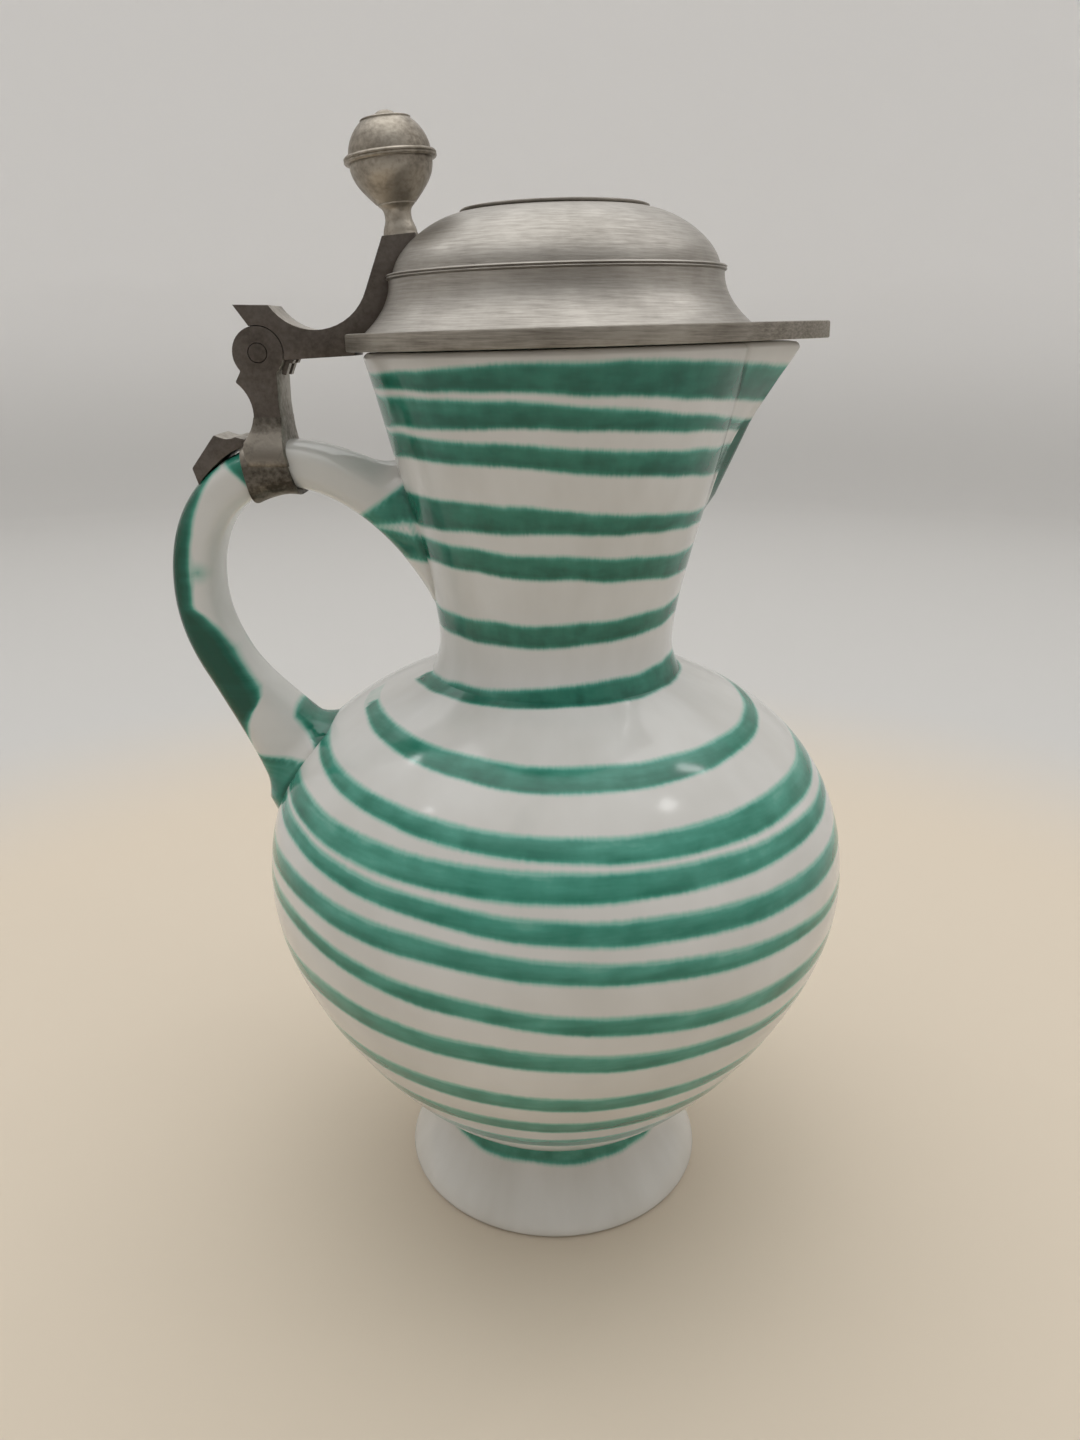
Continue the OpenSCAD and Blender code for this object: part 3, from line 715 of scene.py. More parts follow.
def stroke_reach(point, reach):
    """How far inside the brushed part of its stripe a point lies, in millimetres."""
    heading = math.degrees(math.atan2(point.y, point.x)) % 360
    for level, lifted, smear, sets_down in STROKE_ENDS:
        aside = abs(point.z - level)
        if aside < STROKE_REACH:
            past = math.radians(max(lifted - heading, heading - sets_down)) * math.hypot(point.x, point.y)
            past -= STROKE_ROUND * min(1, aside * aside)
            reach = min(reach, max(past, FAINT_SMEAR if heading > smear else -PAINTED))
    return reach


def lip_line(z):
    """Half of the lip's outline at a height, from its keel over the bend of its flank to the neck."""
    neck = pot_r(min(z, RIM_Z))
    out, back, side = [between(z, [(row[0], row[k]) for row in KEEL_LINE]) for k in (1, 2, 3)]
    share = min(1, max(0, (z - KEEL_Z) / (RIM_Z - KEEL_Z)))
    edge = LIP_FOOT_HALF_W + (LIP_HALF_W - LIP_FOOT_HALF_W) * share
    keel = neck + out
    blunt = Vector((max(keel - KEEL_EDGE, math.sqrt(neck ** 2 - KEEL_HALF_W ** 2)), KEEL_HALF_W))
    bend = Vector((max(keel - back, math.sqrt(neck ** 2 - side ** 2)), side))
    return [Vector((keel, 0)), blunt, bend, Vector((math.sqrt(neck ** 2 - edge ** 2), edge))]


# Columns of points from the keel over its edge and its facet to the lip's side, and round the pot
LIP_STEPS = (2, 4, 10)
LIP_SIDE = sum(LIP_STEPS)
FACET_SIDE = sum(LIP_STEPS[:2])
BACK_COLUMNS = 150

# Painted shade in the creases: the seams of the lip from these heights up, and the fold under the lip,
# which is painted dark green as shade between these heights. The fold's crease is marked below zero.
SEAM_SHADE_Z = (182, 192)
FOLD_SHADE_LOW_Z = (196.5, 197.5)
FOLD_SHADE_HIGH_Z = (217, 224)
FOLD_SHADE = -0.6
FOLD_SHADE_EDGE = -0.2


def lip_points(row):
    """The points of a row across the lip. The inside follows the outside at the wall's thickness."""
    line = lip_line(row[1])
    neck = pot_r(min(row[1], RIM_Z))
    half = []
    for a, b, steps in zip(line, line[1:], LIP_STEPS):
        for k in range(steps):
            half.append(a.lerp(b, k / steps))
    half.append(line[-1])
    spots = [Vector((p.x, -p.y)) for p in reversed(half[1:])] + half
    points = []
    for p in spots:
        push = p.length - neck
        droop = LIP_DROOP * smooth(push, *LIP_TIP_OUT) * smooth(row[1], LIP_DROOP_Z, RIM_Z)
        points.append(wall_point(row, math.atan2(p.y, p.x), push) - Vector((0, 0, droop)))
    return points


def wall_point(row, angle, push=0):
    """A point of the wall at an angle from +X, pushed out from the round by so much."""
    r = row[0] + (push if row[1] > LIP_FOOT_Z else 0)
    x = r * math.cos(angle)
    y = r * math.sin(angle)
    return Vector((x, y, row[1] + x * math.tan(RIM_TILT) * smooth(row[1], TILT_FROM_Z, RIM_Z)))


def wall_pieces():
    """The thrown body, cut away at the spout, and the pinched lip that fills the cut."""
    rows = wall_rows()
    first = next(i for i, row in enumerate(rows) if row[3] > 0 and row[1] >= LIP_FOOT_Z)
    last = max(i for i, row in enumerate(rows) if row[3] < 0 and row[1] >= LIP_FOOT_Z)
    lip_rows = rows[first:last + 1]
    foot_points = lip_points(rows[first])
    last_points = lip_points(rows[last])

    rings = []
    marks = []
    for number, row in enumerate(rows):
        edge = lip_line(row[1])[-1]
        half = math.atan2(edge.y, edge.x)
        ring = []
        for i in range(BACK_COLUMNS + 1):
            ring.append(wall_point(row, half + (TURN - 2 * half) * i / BACK_COLUMNS))
        if first < number < last:
            share = (number - first) / (last - first)
            ring += [low.lerp(high, share) for low, high in zip(foot_points, last_points)]
        else:
            ring += lip_points(row)
        rings.append(ring)
        # Shade is painted along the lip's seams, growing over the heights given
        seam_shade = smooth(row[1], *SEAM_SHADE_Z)
        seams = (0, BACK_COLUMNS, BACK_COLUMNS + 1, len(ring) - 1)
        crease_shades = [seam_shade if i in seams else 0 for i in range(len(ring))]
        marks.append([(row[2], stroke_reach(p, row[3]), crease) for p, crease in zip(ring, crease_shades)])
    body = skin("thrown_body", rings, fill=False, places=marks)

    columns = list(zip(*[lip_points(row) for row in lip_rows]))
    column_marks = []
    for number in range(len(columns)):
        aside = abs(number - LIP_SIDE)
        column = []
        for row in lip_rows:
            # The lip's side columns carry painted seam shade, and the facet under the keel painted fold
            # shade
            crease = 1 if aside == LIP_SIDE else 0
            if aside <= FACET_SIDE and row[3] > 0:
                crease = FOLD_SHADE if aside < FACET_SIDE else FOLD_SHADE_EDGE
                crease *= smooth(row[1], *FOLD_SHADE_LOW_Z) * (1 - smooth(row[1], *FOLD_SHADE_HIGH_Z))
            column.append(row[2:] + (crease,))
        column_marks.append(column)
    lip = skin("pinched_lip", columns, places=column_marks)
    return body, lip


thrown_body, pinched_lip = wall_pieces()
settle(thrown_body, Matrix(), "jug", "jug_body", JUG_GLAZE, 40)
settle(pinched_lip, Matrix(), "jug", "pouring_lip", JUG_GLAZE, 40)

# The foot: a turned ring, open underneath
foot_line = [(FOOT_R - FOOT_RING_W, 0)]
foot_line += arc((FOOT_R - FOOT_EDGE, FOOT_EDGE), FOOT_EDGE, -90, 0, 6)
foot_line += curve((FOOT_R, FOOT_EDGE), (FOOT_R - FOOT_EDGE, FOOT_PULL), (FOOT_TOP_R, FOOT_H - FOOT_PULL),
                   (FOOT_TOP_R, FOOT_H), 24)[1:]
foot_line += [(FOOT_TOP_R, FOOT_H + FOOT_JOINT), (FOOT_TOP_R - FOOT_RING_W, FOOT_H + FOOT_JOINT)]
foot_places = [(z - FOOT_H, PAINTED if r > FOOT_TOP_R - 1 else -PAINTED, 0) for r, z in foot_line]
turned_foot = turned("turned_foot", foot_line, 160, foot_places)
settle(turned_foot, Matrix(), "jug", "foot_ring", JUG_GLAZE, 40)

# The handle: a pulled strap along a path of three curves, joined at the band and at its furthest reach.
# The curves' pulls are in millimetres, and a place on the path goes from 0 to 3.
BAND_AT = Vector((PIN_JUG.x + 0.9, HANDLE_TOP_Z))
OUT_AT = Vector((-HANDLE_REACH, HANDLE_OUT_Z))
BAND_DIR = Vector((-math.cos(BAND_LEAN), -math.sin(BAND_LEAN)))
TOP_DIR = Vector((-4, 3)).normalized()
LOW_DIR = Vector((3, -5)).normalized()
TOP_AT = Vector((-pot_r(ROOT_TOP_Z), ROOT_TOP_Z)) - 20 * TOP_DIR
LOW_AT = Vector((-pot_r(ROOT_LOW_Z) - 1.5, ROOT_LOW_Z)) + 6 * LOW_DIR
HANDLE_PATH = [
    (TOP_AT, TOP_AT + 22 * TOP_DIR, BAND_AT - 14 * BAND_DIR, BAND_AT),
    (BAND_AT, BAND_AT + 16 * BAND_DIR, OUT_AT + Vector((0, 16)), OUT_AT),
    (OUT_AT, OUT_AT - Vector((0, 20)), LOW_AT - 20 * LOW_DIR, LOW_AT),
]
HANDLE_POWER = 3.2
TOP_FLARE = 20
TOP_FLARE_SPAN = 0.95
LOW_FLARE = 13
LOW_FLARE_SPAN = 0.6
ROOT_SPREAD = 5
ROOT_FILLET = 3.2
ROOT_DOME = 0.62
DOME_CREST = 0.25
THIN_PAINT = 1.1
PATH_MM = 45
BACK_MM = 6

# The long stroke down the handle's back: how far round the side it comes at each place on the path
STROKE_EDGE = [(1.0, 1.0), (1.3, 0.75), (1.4, 0.55), (1.5, 0.36), (1.675, 0.1), (1.825, 0.02), (2.0, -0.05),
               (2.075, 0.02), (2.125, -0.4), (2.2, -0.72), (2.33, -0.9), (2.48, -0.82), (2.55, -0.78),
               (2.595, -0.55), (2.62, 0), (2.655, 0.48), (2.71, 0.78), (2.8, 1.1), (3.0, 1.5)]


def handle_at(s):
    """The handle's middle and its outward direction at a place on the path, from 0 to 3."""
    part = min(int(s), 2)
    t = s - part
    a, b, c, d = HANDLE_PATH[part]
    spot = (1 - t) ** 3 * a + 3 * (1 - t) ** 2 * t * b + 3 * (1 - t) * t * t * c + t ** 3 * d
    way = ((1 - t) ** 2 * (b - a) + 2 * (1 - t) * t * (c - b) + t * t * (d - c)).normalized()
    return spot, Vector((way.y, -way.x))


def handle_size(s):
    """Thickness and width of the handle, flared at both roots."""
    top = max(0, 1 - s / TOP_FLARE_SPAN) ** 3
    low = max(0, 1 - (3 - s) / LOW_FLARE_SPAN) ** 1.5
    return HANDLE_T + TOP_FLARE * top + LOW_FLARE * low, HANDLE_W + ROOT_SPREAD * (top + low)


def rounded_square(angle):
    """Heights of a rounded square's point, towards the handle's outside and its side, from -1 to 1."""
    return [math.copysign(abs(c) ** (2 / HANDLE_POWER), c) for c in (math.cos(angle), math.sin(angle))]


def pot_gap(point):
    """How far a point stands clear of the pot's wall, level with it."""
    return math.hypot(point.x, point.y) - pot_r(point.z)


def handle_point(s, angle, grow=0, fillet=0):
    """A point of the handle's rounded-square section, swept out where it meets the pot."""
    spot, out = handle_at(s)
    thick, wide = handle_size(s)
    up, side = rounded_square(angle)
    if up > 0:
        dome = ROOT_DOME * (1 - smooth(s, 0.3, 1.1))
        up *= 1 - dome * (math.hypot(side, DOME_CREST) - DOME_CREST)
    fillet *= smooth(s, -0.05, 0.3)

    def at(extra):
        flat = spot + out * (thick / 2 + extra) * up
        return Vector((flat.x, (wide / 2 + extra) * side, flat.y))
    point = at(grow)
    if fillet:
        point = at(grow + fillet * max(0, 1 - max(0, pot_gap(point)) / (2 * fillet)) ** 2)
    return point


def handle_paint(s, up, point):
    """How far inside the green a point of the handle lies, in millimetres."""
    x, _, z = point
    gap = max(0, pot_gap(point))
    if s < 0.8:
        # The stripes of the neck run on over the upper root, with a wedge of white between them
        lobe = min((204.1 + 0.7 * (x + 39.7) - z) * 0.8, z - 186)
        lobe = min(lobe, math.hypot(z - 194.3, 0.4) - 1.6 + 0.16 * gap)
        return min(max(lobe, 3 - abs(z - 172)), THIN_PAINT)
    stroke = min((up - between(s, STROKE_EDGE)) * BACK_MM, (s - 1.25) * PATH_MM)
    dab = min((1.18 + 0.05 * up - s) * PATH_MM, (s - 0.93) * PATH_MM, THIN_PAINT)
    smudge = 0.25 - math.hypot((s - 1.895) * PATH_MM, (up + 0.3) * BACK_MM) / 4
    paint = max(stroke, dab, smudge)
    # Two dabs by the lower root, one inside the handle and one under it
    if s > 2.6:
        inner = min(x + 70.3, (z - 143.4 + 1.19 * (x + 70.4)) / 1.55)
        paint = max(paint, min(inner, THIN_PAINT), min(132.9 - z, THIN_PAINT))
    return paint


HANDLE_STEPS = 160
HANDLE_SIDES = 72
SINK_WAY = Vector((0.4, 0, -0.92))
CORE_INSET = 2.5
handle_rings = []
handle_places = []
for j in range(HANDLE_STEPS + 1):
    spot = 3 * j / HANDLE_STEPS
    ring = []
    row = []
    for i in range(HANDLE_SIDES):
        turn = TURN * i / HANDLE_SIDES
        point = handle_point(spot, turn, fillet=ROOT_FILLET)
        up = rounded_square(turn)[0]
        ring.append(point)
        # Shade is painted where the handle sinks into the pot's wall
        crease = 0.5 * smooth(-pot_gap(point), -1.2, -0.2)
        row.append((way_at(point.z), handle_paint(spot, up, point), crease))
    handle_rings.append(ring)
    handle_places.append(row)
# Past the lower end of the path the strap runs on into the wall
for sink in (2.5, 5, 8):
    handle_rings.append([p + SINK_WAY * sink for p in handle_rings[HANDLE_STEPS]])
    handle_places.append(handle_places[HANDLE_STEPS])
strap_handle = skin("strap_handle", handle_rings, places=handle_places)
# Inside the pot's wall the strap is cut away
core_line = [(p.x - CORE_INSET, p.y) for p in POT_OUT if FOOT_H + 4 < p.y]
core_line = [(0, FOOT_H + 3)] + core_line + [(0, RIM_Z)]
combine(strap_handle, turned("core", core_line, 96), "DIFFERENCE")
settle(strap_handle, Matrix(), "jug", "jug_handle", HANDLE_GLAZE, 40)

# The band round the handle, cut square to its own lean, and the saddle that flares out of the hinge post
BAND_MIDDLE = BAND_AT + Vector((BAND_SHIFT, 0))
BAND_STEPS = 8
BAND_COLUMNS = 64
SADDLE_STEPS = 6


def band_point(along, angle, grow):
    """A point on the handle's outline that lies so far along the band's own axis."""
    low = 0.5
    high = 1.5
    for _ in range(24):
        s = (low + high) / 2
        point = handle_point(s, angle, grow)
        away = BAND_MIDDLE - Vector((point.x, point.z))
        ahead = away.x * math.cos(BAND_TURN) + away.y * math.sin(BAND_TURN)
        if ahead < along:
            low = s
        else:
            high = s
    return point


band_rings = []
for i in range(BAND_COLUMNS):
    a = TURN * i / BAND_COLUMNS
    flare = BAND_FLARE * smooth(-rounded_square(a)[0], -0.6, 1)
    ring = []
    for grow, order in ((BAND_GAP + BAND_T, 1), (BAND_GAP - 0.1, -1)):
        for k in range(BAND_STEPS + 1)[::order]:
            along = -BAND_W / 2 - flare + (BAND_W + flare) * k / BAND_STEPS
            ring.append(band_point(along, a, grow))
    band_rings.append(ring)
cast_band = skin("cast_band", band_rings, round_trip=True)
rounded(cast_band, 0.35, 2, 50)
# Each row of the saddle: height, left and right side from the pin's axis, and half its width
SADDLE = (
    (209.2, -3.6, 6.1, 10.5), (209.9, -3.8, 6.0, 10.9), (211, -4.1, 5.7, 10.98), (212.2, -4.5, 5.35, 10.8),
    (213.5, -4.8, 5.1, 10.35), (215, -4.7, 4.9, 9.6), (216.5, -3.75, 4.75, 8.8), (218, -3.05, 4.65, 8.05),
    (219.5, -2.6, 4.6, 7.55), (221, -2.35, 4.6, 7.24),
)
saddle_rings = []
for level, left, right, half in SADDLE:
    ring = []
    corners = [(left, -half), (right, -half), (right, half), (left, half)]
    for (x0, y0), (x1, y1) in zip(corners, corners[1:] + corners[:1]):
        for k in range(SADDLE_STEPS):
            x = PIN_JUG.x + x0 + (x1 - x0) * k / SADDLE_STEPS
            ring.append((x, y0 + (y1 - y0) * k / SADDLE_STEPS, level))
    saddle_rings.append(ring)
saddle = skin("saddle", saddle_rings)
rounded(saddle, 0.3, 2, 50)
combine(cast_band, saddle, "UNION")
settle(cast_band, Matrix(), "jug", "handle_band", BAND_PEWTER, 35)
# The band's faces turned to +X, high up, get the lighter filed tone with a painted highlight
file_and_light_faces(cast_band, lambda face: face.normal.x > 0.6 and face.center.z > 214.5 * MM)

# The tongue on the handle's back, hollow underneath, from the band to its cut tip. A step along the
# handle's path is so many millimetres there.
TOP_STEP_MM = 48
spot, out = handle_at(1 + BAND_W / 2 / TOP_STEP_MM)
tongue_root = spot + out * (HANDLE_T / 2 + BAND_GAP)
TONGUE_LINE = [(1.6, 2.6), (0.2, 2.9), (-1.1, 3.3), (-2.2, 2.9), (-3.4, 2.8), (-4.8, 3.1), (-6.4, 3.7),
               (-12.6, -4.4), (-11.3, -8.7), (-9.9, -6.8), (-7.6, -4.5), (-4.7, -2.0), (-2.2, -0.4),
               (-0.6, 0.2), (1.6, 0.5)]
cast_tongue = plate("cast_tongue", [tongue_root + Vector(p) for p in TONGUE_LINE], TONGUE_W)
rounded(cast_tongue, 0.35, 2)
settle(cast_tongue, Matrix(), "jug", "handle_tongue", CAST_PEWTER)
# The tongue's upward faces get the lighter filed tone with a painted highlight
file_and_light_faces(cast_tongue, lambda face: face.normal.z > 0.85)


# The hinge: five leaves share its width
POST_LEAVES = (0, 2, 4)
ARM_LEAVES = (1, 3)


def leaf_y(i):
    return -HINGE_W / 2 + i * LEAF_PITCH + LEAF_T / 2


def cut_hinge(piece, leaves):
    """Cuts room for the other piece's leaves, and the pin's bore."""
    for leaf in leaves:
        combine(piece, drum(leaf_y(leaf), RELIEF_R, LEAF_T + 2 * LEAF_GAP), "DIFFERENCE")
    combine(piece, drum(0, PIN_R + PIN_FIT, HINGE_W + 2), "DIFFERENCE")


NUB = (-6.02, -6.79)
PIN_HALF_L = 7.35
post_foot = 214 - PIN_JUG.z
post_line = arc((0, 0), KNUCKLE_R, -46, 222.6, 30)
post_line += [NUB] + scoop(NUB, (-5.7, post_foot), -3.6, 14)
post_line += [(-POST_LEFT, post_foot), (POST_RIGHT, post_foot)]
post_line += [(4.75, post_foot + 4), (4.25, post_foot + 10)]
hinge_post = plate("cast_post", post_line, HINGE_W)
rounded(hinge_post, 0.35, 2)
cut_hinge(hinge_post, ARM_LEAVES)
settle(hinge_post, POST_PLACE, "jug", "hinge_post", CAST_PEWTER)
# The post's faces turned to +X below the pin get the lighter filed tone with a painted highlight
file_and_light_faces(hinge_post, lambda face: face.normal.x > 0.7 and face.center.z < PIN_JUG.z * MM)

pin_head = [(PIN_R, PIN_HALF_L - 0.35), (2.15, PIN_HALF_L - 0.1), (1.7, PIN_HALF_L), (0, PIN_HALF_L)]
pin_line = [(r, -z) for r, z in reversed(pin_head)] + pin_head
rivet = turned("riveted_pin", pin_line, 48)
PIN_PLACE = POST_PLACE @ Matrix.Rotation(TURN / 4, 4, "X")
settle(rivet, PIN_PLACE, "jug", "hinge_pin", CAST_PEWTER)


# The lid's shell in radius and height, the same inside with the wall taken off

def shell_outline(inset):
    low = Vector((COVE_R - inset, FLANGE_T))
    under = Vector((BEAD_R - inset, BEAD_H - inset))
    spring = Vector((DOME_R - inset, BEAD_H + BEAD_T - inset))
    top = Vector((DOME_TOP_R, DOME_H - inset))
    cove = curve(low, low + Vector((-4, 3.4)), under + Vector((0, -4.4)), under, 20)
    dome = curve(spring, spring + Vector((-1.2, 6)), top + Vector((6.5, -1)), top, 20)
    if inset:
        return cove + dome
    bead = [under + Vector(p) for p in ((0.1, 0.1), (0.4, 0.15), (0.6, 0.4), (0.45, 0.62), (0.3, 0.7),
                                        (0.45, 0.78), (0.6, 1.0), (0.4, 1.25), (0, 1.35))]
    return cove + bead + dome


SHELL_LEVELS = [(p.y, p.x) for p in shell_outline(0)]

# The arm: heel, scooped top and upright, with its far end let into the shell. It narrows towards the shell.
TAPER_X = 16.6
TAPER_L = 18.9
TAPER = 0.375
heel_foot = RELIEF_R * Vector((math.cos(math.radians(104)), math.sin(math.radians(104))))
heel_front = (3.7, 10.7)
seat = Vector((THUMB_X - PIN_X, THUMB_Z - PIN_RISE))
lean = 3.9 * Vector((math.cos(THUMB_LEAN), math.sin(THUMB_LEAN)))
back_low = seat + Vector((-8.6, -12))
arm_line = [heel_foot, (-4.8, 11), heel_front]
arm_line += scoop(heel_front, back_low, 7.2, 16)
arm_line += [back_low, seat - lean, seat + lean]
for step in range(12):
    level = 24 - 20 * step / 11
    arm_line.append((-between(level + PIN_RISE, SHELL_LEVELS) + 1 - PIN_X, level))
arm_line += [(23.3, 1.6), (23.3, -1.3), (RELIEF_R, -1.8)]
arm_line += arc((0, 0), KNUCKLE_R, -17, -256, 26)
arm = plate("cast_arm", arm_line, HINGE_W)
edit_all()
bpy.ops.mesh.bisect(plane_co=(TAPER_X * MM, 0, 0), plane_no=(1, 0, 0))
bpy.ops.object.mode_set(mode="OBJECT")
for vert in arm.data.vertices:
    vert.co.y *= 1 - TAPER * min(1, max(0, (vert.co.x / MM - TAPER_X) / TAPER_L))
rounded(arm, 0.45, 2)
cut_hinge(arm, POST_LEAVES)
# The cut ends of the arm's own leaves, which show as teeth below the arm
TOE_LINE = [(5.6, -1.2), (8.0, -1.9), (7.5, -2.7), (6.9, -2.6), (5.7, -5.4), (4.7, -5.1)]
for leaf in ARM_LEAVES:
    toe = plate("toe", TOE_LINE, LEAF_T)
    toe.data.transform(shift(0, leaf_y(leaf), 0))
    combine(arm, toe, "UNION")
settle(arm, ARM_PLACE, "lid", "lid_arm", CAST_PEWTER)
# The arm's upper faces, and its faces turned to +X below the pin, get the lighter filed tone with a painted
# highlight
file_and_light_faces(arm, lambda face: face.normal.z > 0.4 and face.center.z > PIN_JUG.z * MM + 0.003
           or face.normal.x > 0.3 and face.center.z < PIN_JUG.z * MM - 0.0015)

# The flange: a round plate with a beak over the spout
beak = Vector((BEAK_X, BEAK_HALF_W))
touch = math.atan2(beak.y, beak.x) + math.acos((FLANGE_R - 0.1) / beak.length)
touch_at = FLANGE_R * Vector((math.cos(touch), math.sin(touch)))
BEAK_END = ((BEAK_X, 0), (BEAK_X, 2.2), (BEAK_X - 0.05, 3.6), (BEAK_X - 0.4, 4.2))
half_edge = [Vector(p) for p in BEAK_END]
half_edge += [beak.lerp(touch_at, k / 10) for k in range(1, 10)]
flange_edge = half_edge + arc((0, 0), FLANGE_R, math.degrees(touch), 360 - math.degrees(touch), 150)
flange_edge += [Vector((p.x, -p.y)) for p in reversed(half_edge[1:])]
FLANGE_SECTION = ((0.4, 0), (0.1, 0.1), (0, 0.4), (0, FLANGE_T - 0.5), (0.15, FLANGE_T - 0.15),
                  (0.5, FLANGE_T))
flange_rings = []
for point in flange_edge:
    way = point.normalized()
    ring = [(point - way * inset).to_3d() + Vector((0, 0, level)) for inset, level in FLANGE_SECTION]
    ring += [(way * FLANGE_IN_R).to_3d() + Vector((0, 0, level)) for level in (FLANGE_T, 0)]
    flange_rings.append(ring)
flange = skin("beaked_flange", flange_rings, round_trip=True)
settle(flange, LID_PLACE, "lid", "lid_flange", FLANGE_PEWTER)

# The spun shell of cove, bead and dome, and the disc on it
shell_line = shell_outline(0) + [(0, DOME_H), (0, DOME_H - LID_WALL)]
shell_line += list(reversed(shell_outline(LID_WALL)))
shell = turned("spun_shell", shell_line, 160)
settle(shell, LID_PLACE, "lid", "lid_dome", SPUN_PEWTER)

disc_line = [(0, 0), (DISC_R - 0.7, 0), (DISC_R - 0.1, 0.45), (DISC_R, 0.6), (DISC_R - 0.05, 0.8),
             (DISC_R - 0.25, DISC_T), (0, DISC_T)]
disc = turned("top_disc", disc_line, 128)
settle(disc, LID_PLACE @ shift(0, 0, DOME_H), "lid", "lid_disc", SPUN_PEWTER)

# The thumbpiece: stem, two half balls with their rib, and the button
ball_cap = math.sqrt(BALL_R ** 2 - BALL_CAP_R ** 2)
stem_top = BALL_Z - BALL_SEAT_Z
stem_line = [(0, -0.5), (4.15, -0.5), (4.15, 0.2)]
stem_line += curve((4.05, 0.4), (3.9, 2.2), (3.15, 2.6), (3.15, 4.2), 12)
stem_line += curve((3.15, 4.2), (3.15, 5.6), (3.5, 6), (4.35, 6.7), 12)[1:]
stem_line += [(4.4, stem_top), (0, stem_top)]
stem = turned("turned_stem", stem_line, 64)
settle(stem, THUMB_PLACE, "lid", "thumb_stem", BALL_PEWTER)
BALL_PLACE = THUMB_PLACE @ shift(0, 0, BALL_Z)


def half_ball(name, outside, node, up):
    """One hollow half of the ball, with its half of the rib, opening at the joint."""
    hollow = BALL_R - BALL_WALL
    line = [(hollow, 0), (RIB_R - 0.15, 0), (RIB_R, 0.15), (RIB_R, RIB_T - 0.35), (RIB_R - 0.3, RIB_T)]
    line += outside + [(0, outside[-1][1]), (0, HOLLOW_H)]
    line += arc((0, 0), hollow, math.degrees(math.asin(HOLLOW_H / hollow)), 0, 12)[:-1]
    half = turned(name, [(r, z * up) for r, z in line], 96)
    settle(half, BALL_PLACE, "lid", node, BALL_PEWTER)


# The lower half narrows to its seat like a pear, and the upper one carries a flat cap with a step
rib_top = math.degrees(math.asin(RIB_T / BALL_R))
pear = curve((9.72, RIB_T), (9.9, 4.6), (7, 7.2), (BALL_SEAT_R, BALL_SEAT_Z), 24)
cap = arc((0, 0), BALL_R, rib_top, math.degrees(math.asin(ball_cap / BALL_R)) - 1, 20)
cap += [(BALL_CAP_R + 0.15, ball_cap - 0.15), (BALL_CAP_R + 0.2, ball_cap + 0.2),
        (BALL_CAP_R - 0.1, ball_cap + 0.4)]
half_ball("ball_low_half", pear, "thumb_ball_lower", -1)
half_ball("ball_high_half", cap, "thumb_ball_upper", 1)
button_line = [(0, -0.3), (BUTTON_R, -0.3), (BUTTON_R, 0.25)]
button_line += curve((BUTTON_R - 0.1, 0.5), (2.3, 1.3), (1.2, BUTTON_H), (0, BUTTON_H), 10)
button = turned("turned_button", button_line, 48)
settle(button, BALL_PLACE @ shift(0, 0, ball_cap + 0.3), "lid", "thumb_button", BALL_PEWTER)

# The studio: a pale round sweep of floor and wall, a glow overhead, four small lamps and the camera.
# Its measures are in metres, apart from the sweep's outline.

FLOOR_PAINT = "#D6C9B7"
FAR_FLOOR_PAINT = "#C9C7C4"
WALL_PAINT = "#F4F2F0"
FRONT_WALL_PAINT = "#A5A19D"
WALL_LIFT = 0.08


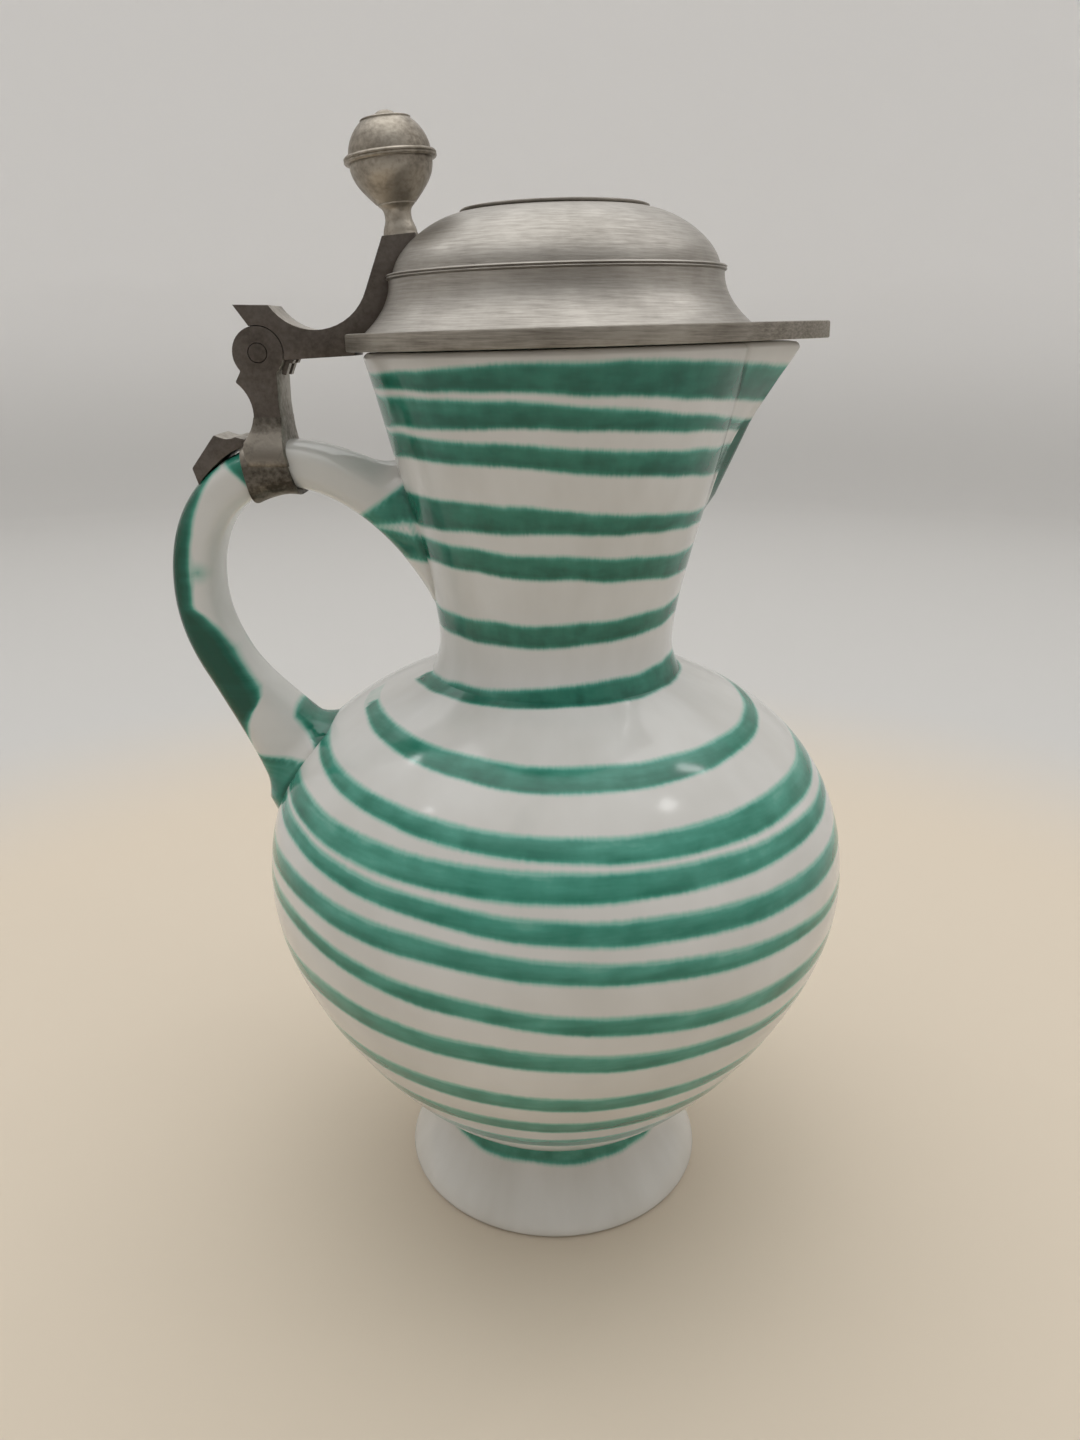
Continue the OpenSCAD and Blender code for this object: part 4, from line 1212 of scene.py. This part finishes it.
def sweep_paint():
    """Matt emulsion paint: a cream floor round the jug, paler walls, and light grey behind the camera for
    contrast in the pewter. To the camera and in reflections the wall is a shade paler than its paint."""
    finish, tree, shader = new_finish("pale_sweep_paint")
    point = add(tree, "TexCoord", out="Object")
    flat = add(tree, "VectorMath.MULTIPLY", (point, (1, 1, 0)))
    reach = add(tree, "VectorMath.LENGTH", (flat,), "Value")
    _, depth, level = add(tree, "SeparateXYZ", (point,), None)
    shares = []
    for value, low, high in ((reach, 0.28, 0.5), (level, 0, 0.35), (depth, -0.9, -1.6)):
        shares.append(add(tree, "MapRange", (value, low, high), **EASED))
    far, wall, front = shares
    front = add(tree, "Math.MULTIPLY", (front, wall))
    colour = linear(FLOOR_PAINT)
    for share, code in ((far, FAR_FLOOR_PAINT), (wall, WALL_PAINT), (front, FRONT_WALL_PAINT)):
        mix = {"Factor": share, "A": colour, "B": linear(code)}
        colour = add(tree, "Mix", mix, "Result", data_type="RGBA")
    rays = add(tree, "LightPath", out=None)
    seen = rays["Is Camera Ray"]
    for ray in ("Is Glossy Ray", "Is Transmission Ray"):
        seen = add(tree, "Math.MAXIMUM", (seen, rays[ray]))
    pale = add(tree, "Math.MULTIPLY", (seen, wall))
    lift = add(tree, "Math.MULTIPLY", (pale, WALL_LIFT))
    feed(shader, {"Base Color": colour, "Roughness": 0.9, "Emission Strength": lift,
                  "Emission Color": linear(WALL_PAINT)})
    return finish


sweep_line = [(0, 0), (500, 0), (1000, 0)] + arc((1400, 300), 300, -90, 0, 16)
sweep_line += [(1700, 1300), (1720, 1300), (1720, -20), (0, -20)]
sweep = turned("studio_sweep", sweep_line, 128)
bpy.ops.object.shade_smooth_by_angle(angle=math.radians(30))
sweep.data.materials.append(sweep_paint())

scene = bpy.context.scene
scene.view_settings.view_transform = "Standard"
world = bpy.data.worlds.new("soft_room")
world.use_nodes = True
scene.world = world
room = world.node_tree
sky_way = add(room, "TexCoord", out="Generated")
overhead = add(room, "VectorMath.DOT_PRODUCT", (sky_way, (0, 0.2, 0.98)), "Value")
glow = add(room, "MapRange", (overhead, 0.5, 0.98, 0.68, 2.5), **EASED)
feed(room.nodes["Background"], {"Color": linear("#DADAD9"), "Strength": glow})

# The lamps only give the glints on the shoulder. Each row: name, place, width and height, and watts.
LAMPS = (
    ("left_lamp", (-0.372, 0.169, 0.593), 0.04, 0.04, 0.05),
    ("front_left_lamp", (-0.404, -0.109, 0.604), 0.025, 0.025, 0.02),
    ("right_lamp", (0.377, 0.108, 0.609), 0.03, 0.09, 0.085),
    ("front_right_lamp", (0.358, -0.11, 0.636), 0.05, 0.05, 0.055),
)
LAMP_AIM = Vector((0, 0, 0.15))
for name, spot, wide, high, watts in LAMPS:
    start_piece()
    bpy.ops.object.light_add(type="AREA", location=spot)
    lamp = bpy.context.object
    lamp.name = name
    lamp.data.shape = "RECTANGLE"
    lamp.data.size = wide
    lamp.data.size_y = high
    lamp.data.energy = watts
    lamp.rotation_euler = (LAMP_AIM - Vector(spot)).to_track_quat("-Z", "Y").to_euler()

CAMERA_AT = (-0.0043, -0.282, 0.240)
CAMERA_DOWN = math.radians(19.6)
start_piece()
bpy.ops.object.camera_add(location=CAMERA_AT, rotation=(TURN / 4 - CAMERA_DOWN, 0, 0))
camera = bpy.context.object
camera.data.sensor_width = 36
camera.data.lens = 27.05
scene.camera = camera
